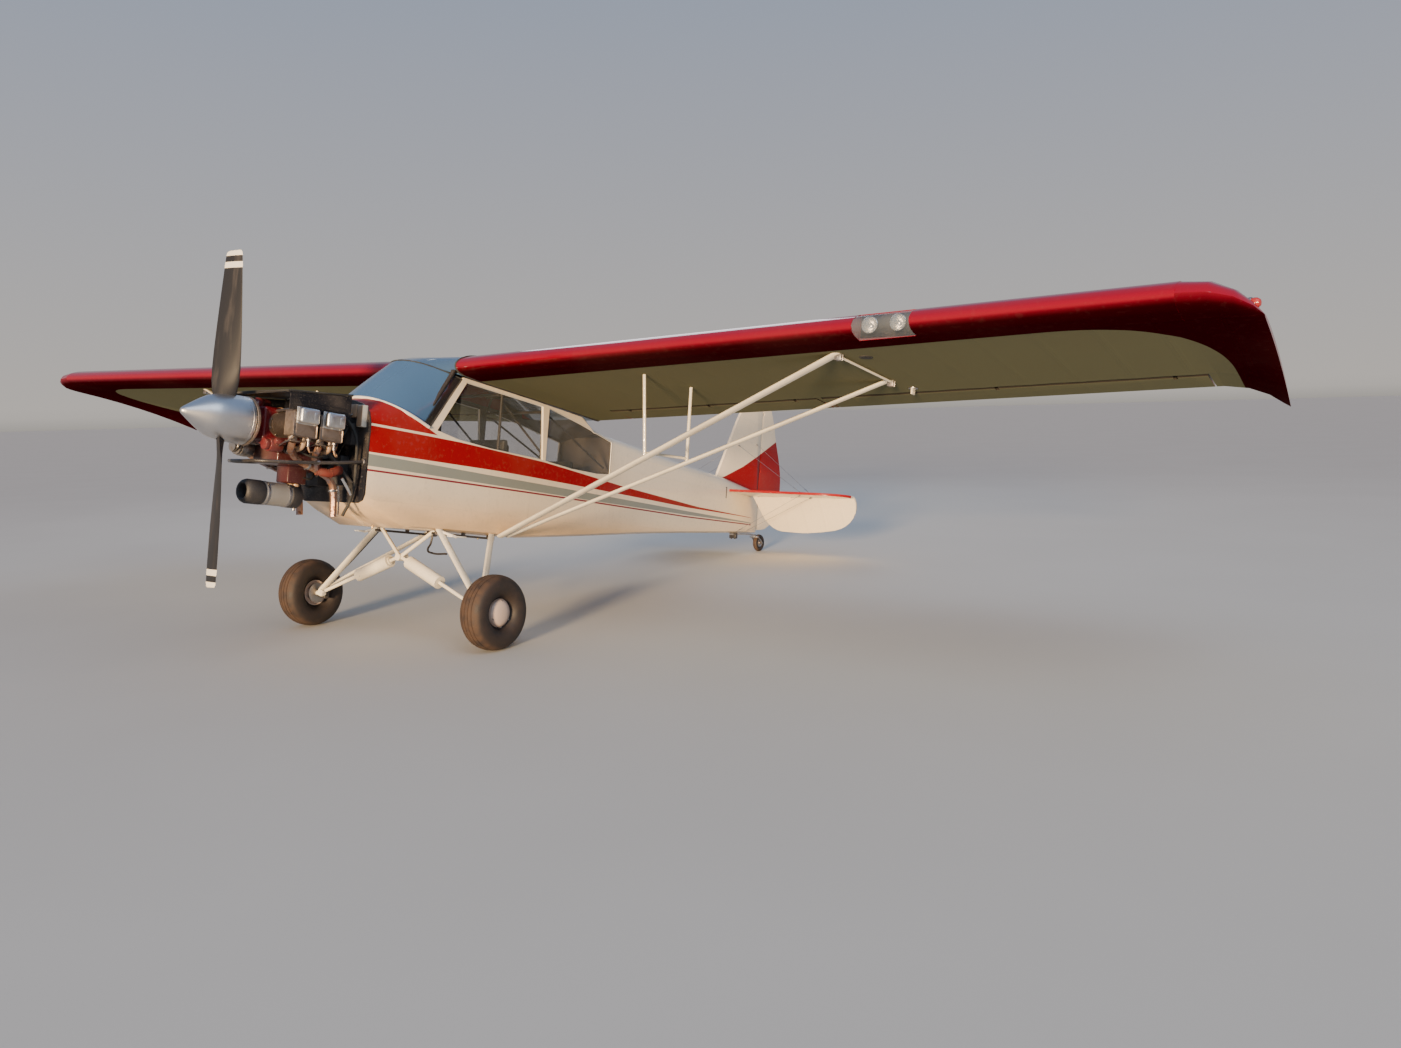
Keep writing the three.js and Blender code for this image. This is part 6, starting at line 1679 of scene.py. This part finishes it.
both("strut_brace_{}", [tube("brace", brace, 0.0075, sides=3)], "cream_tube", "wing_strut_front_{}")
cover = turned("cover", [(-0.003, 0), (-0.003, 0.037), (0.001, 0.041), (0.003, 0.041), (0.003, 0)],
               (3.27, 0.43, under_wing(3.27, 0.43)), (0, 0, 1), steps=32)
both("inspection_cover_{}", [cover], "black_rubber", "wing_{}")
print("lamp bowls:", len(bowls))

# %% [markdown]
# ## Tail
# Thin wires brace the tail: from the fin down to the stabiliser, and from the stabiliser down to
# the fuselage. Each has a turnbuckle near its lower end. A dark plate covers the slot in which the
# stabiliser's front rises and falls, and a clamp holds the tail wheel's leaf spring.

# %% Brace wires, slot plates and spring clamp
def wire(high, low):
    """A brace wire with a fork at each end and a turnbuckle near the lower one."""
    high, low = Vector(high), Vector(low)
    metre = 1 / (high - low).length
    return [tube("wire", [high, low], 0.0018, smooth=False),
            drum("turnbuckle", low.lerp(high, 0.06), low.lerp(high, 0.06 + 0.055 * metre), 0.0045,
                 sides=12, bevel=0.001),
            drum("fork", low, low.lerp(high, 0.022 * metre), 0.0055, sides=10),
            drum("fork", high, high.lerp(low, 0.022 * metre), 0.0055, sides=10)]


wires = []
for fin, tail_y, belly in (((0.013, 4.33, 0.64), 4.26, (0.07, 4.29, -0.273)),
                           ((0.013, 4.69, 0.7), 4.49, (0.042, 4.5, -0.259))):
    wires += wire(fin, (0.82, tail_y, 0.15)) + wire((0.82, tail_y, 0.124), belly)
both("tail_wires_{}", wires, "steel", "stabiliser")
plate = block("slot_plate", (0.128, 3.95, 0.05), (0.1375, 3.972, 0.165), 0.002)
both("stabiliser_slot_{}", [plate], "black_plastic", "tail_cone")
clamp = [block("spring_clamp", (-0.038, 4.352, -0.334), (0.038, 4.392, -0.262), 0.004),
         bolted("clamp_bolts", [(x, 4.372, -0.334) for x in (-0.022, 0.022)], (0, 0, -1), 0.008, 0.008)]
fit("spring_clamp", clamp, "black_tube", "tail_spring")
print("tail wires:", len(wires) // 4 * 2)
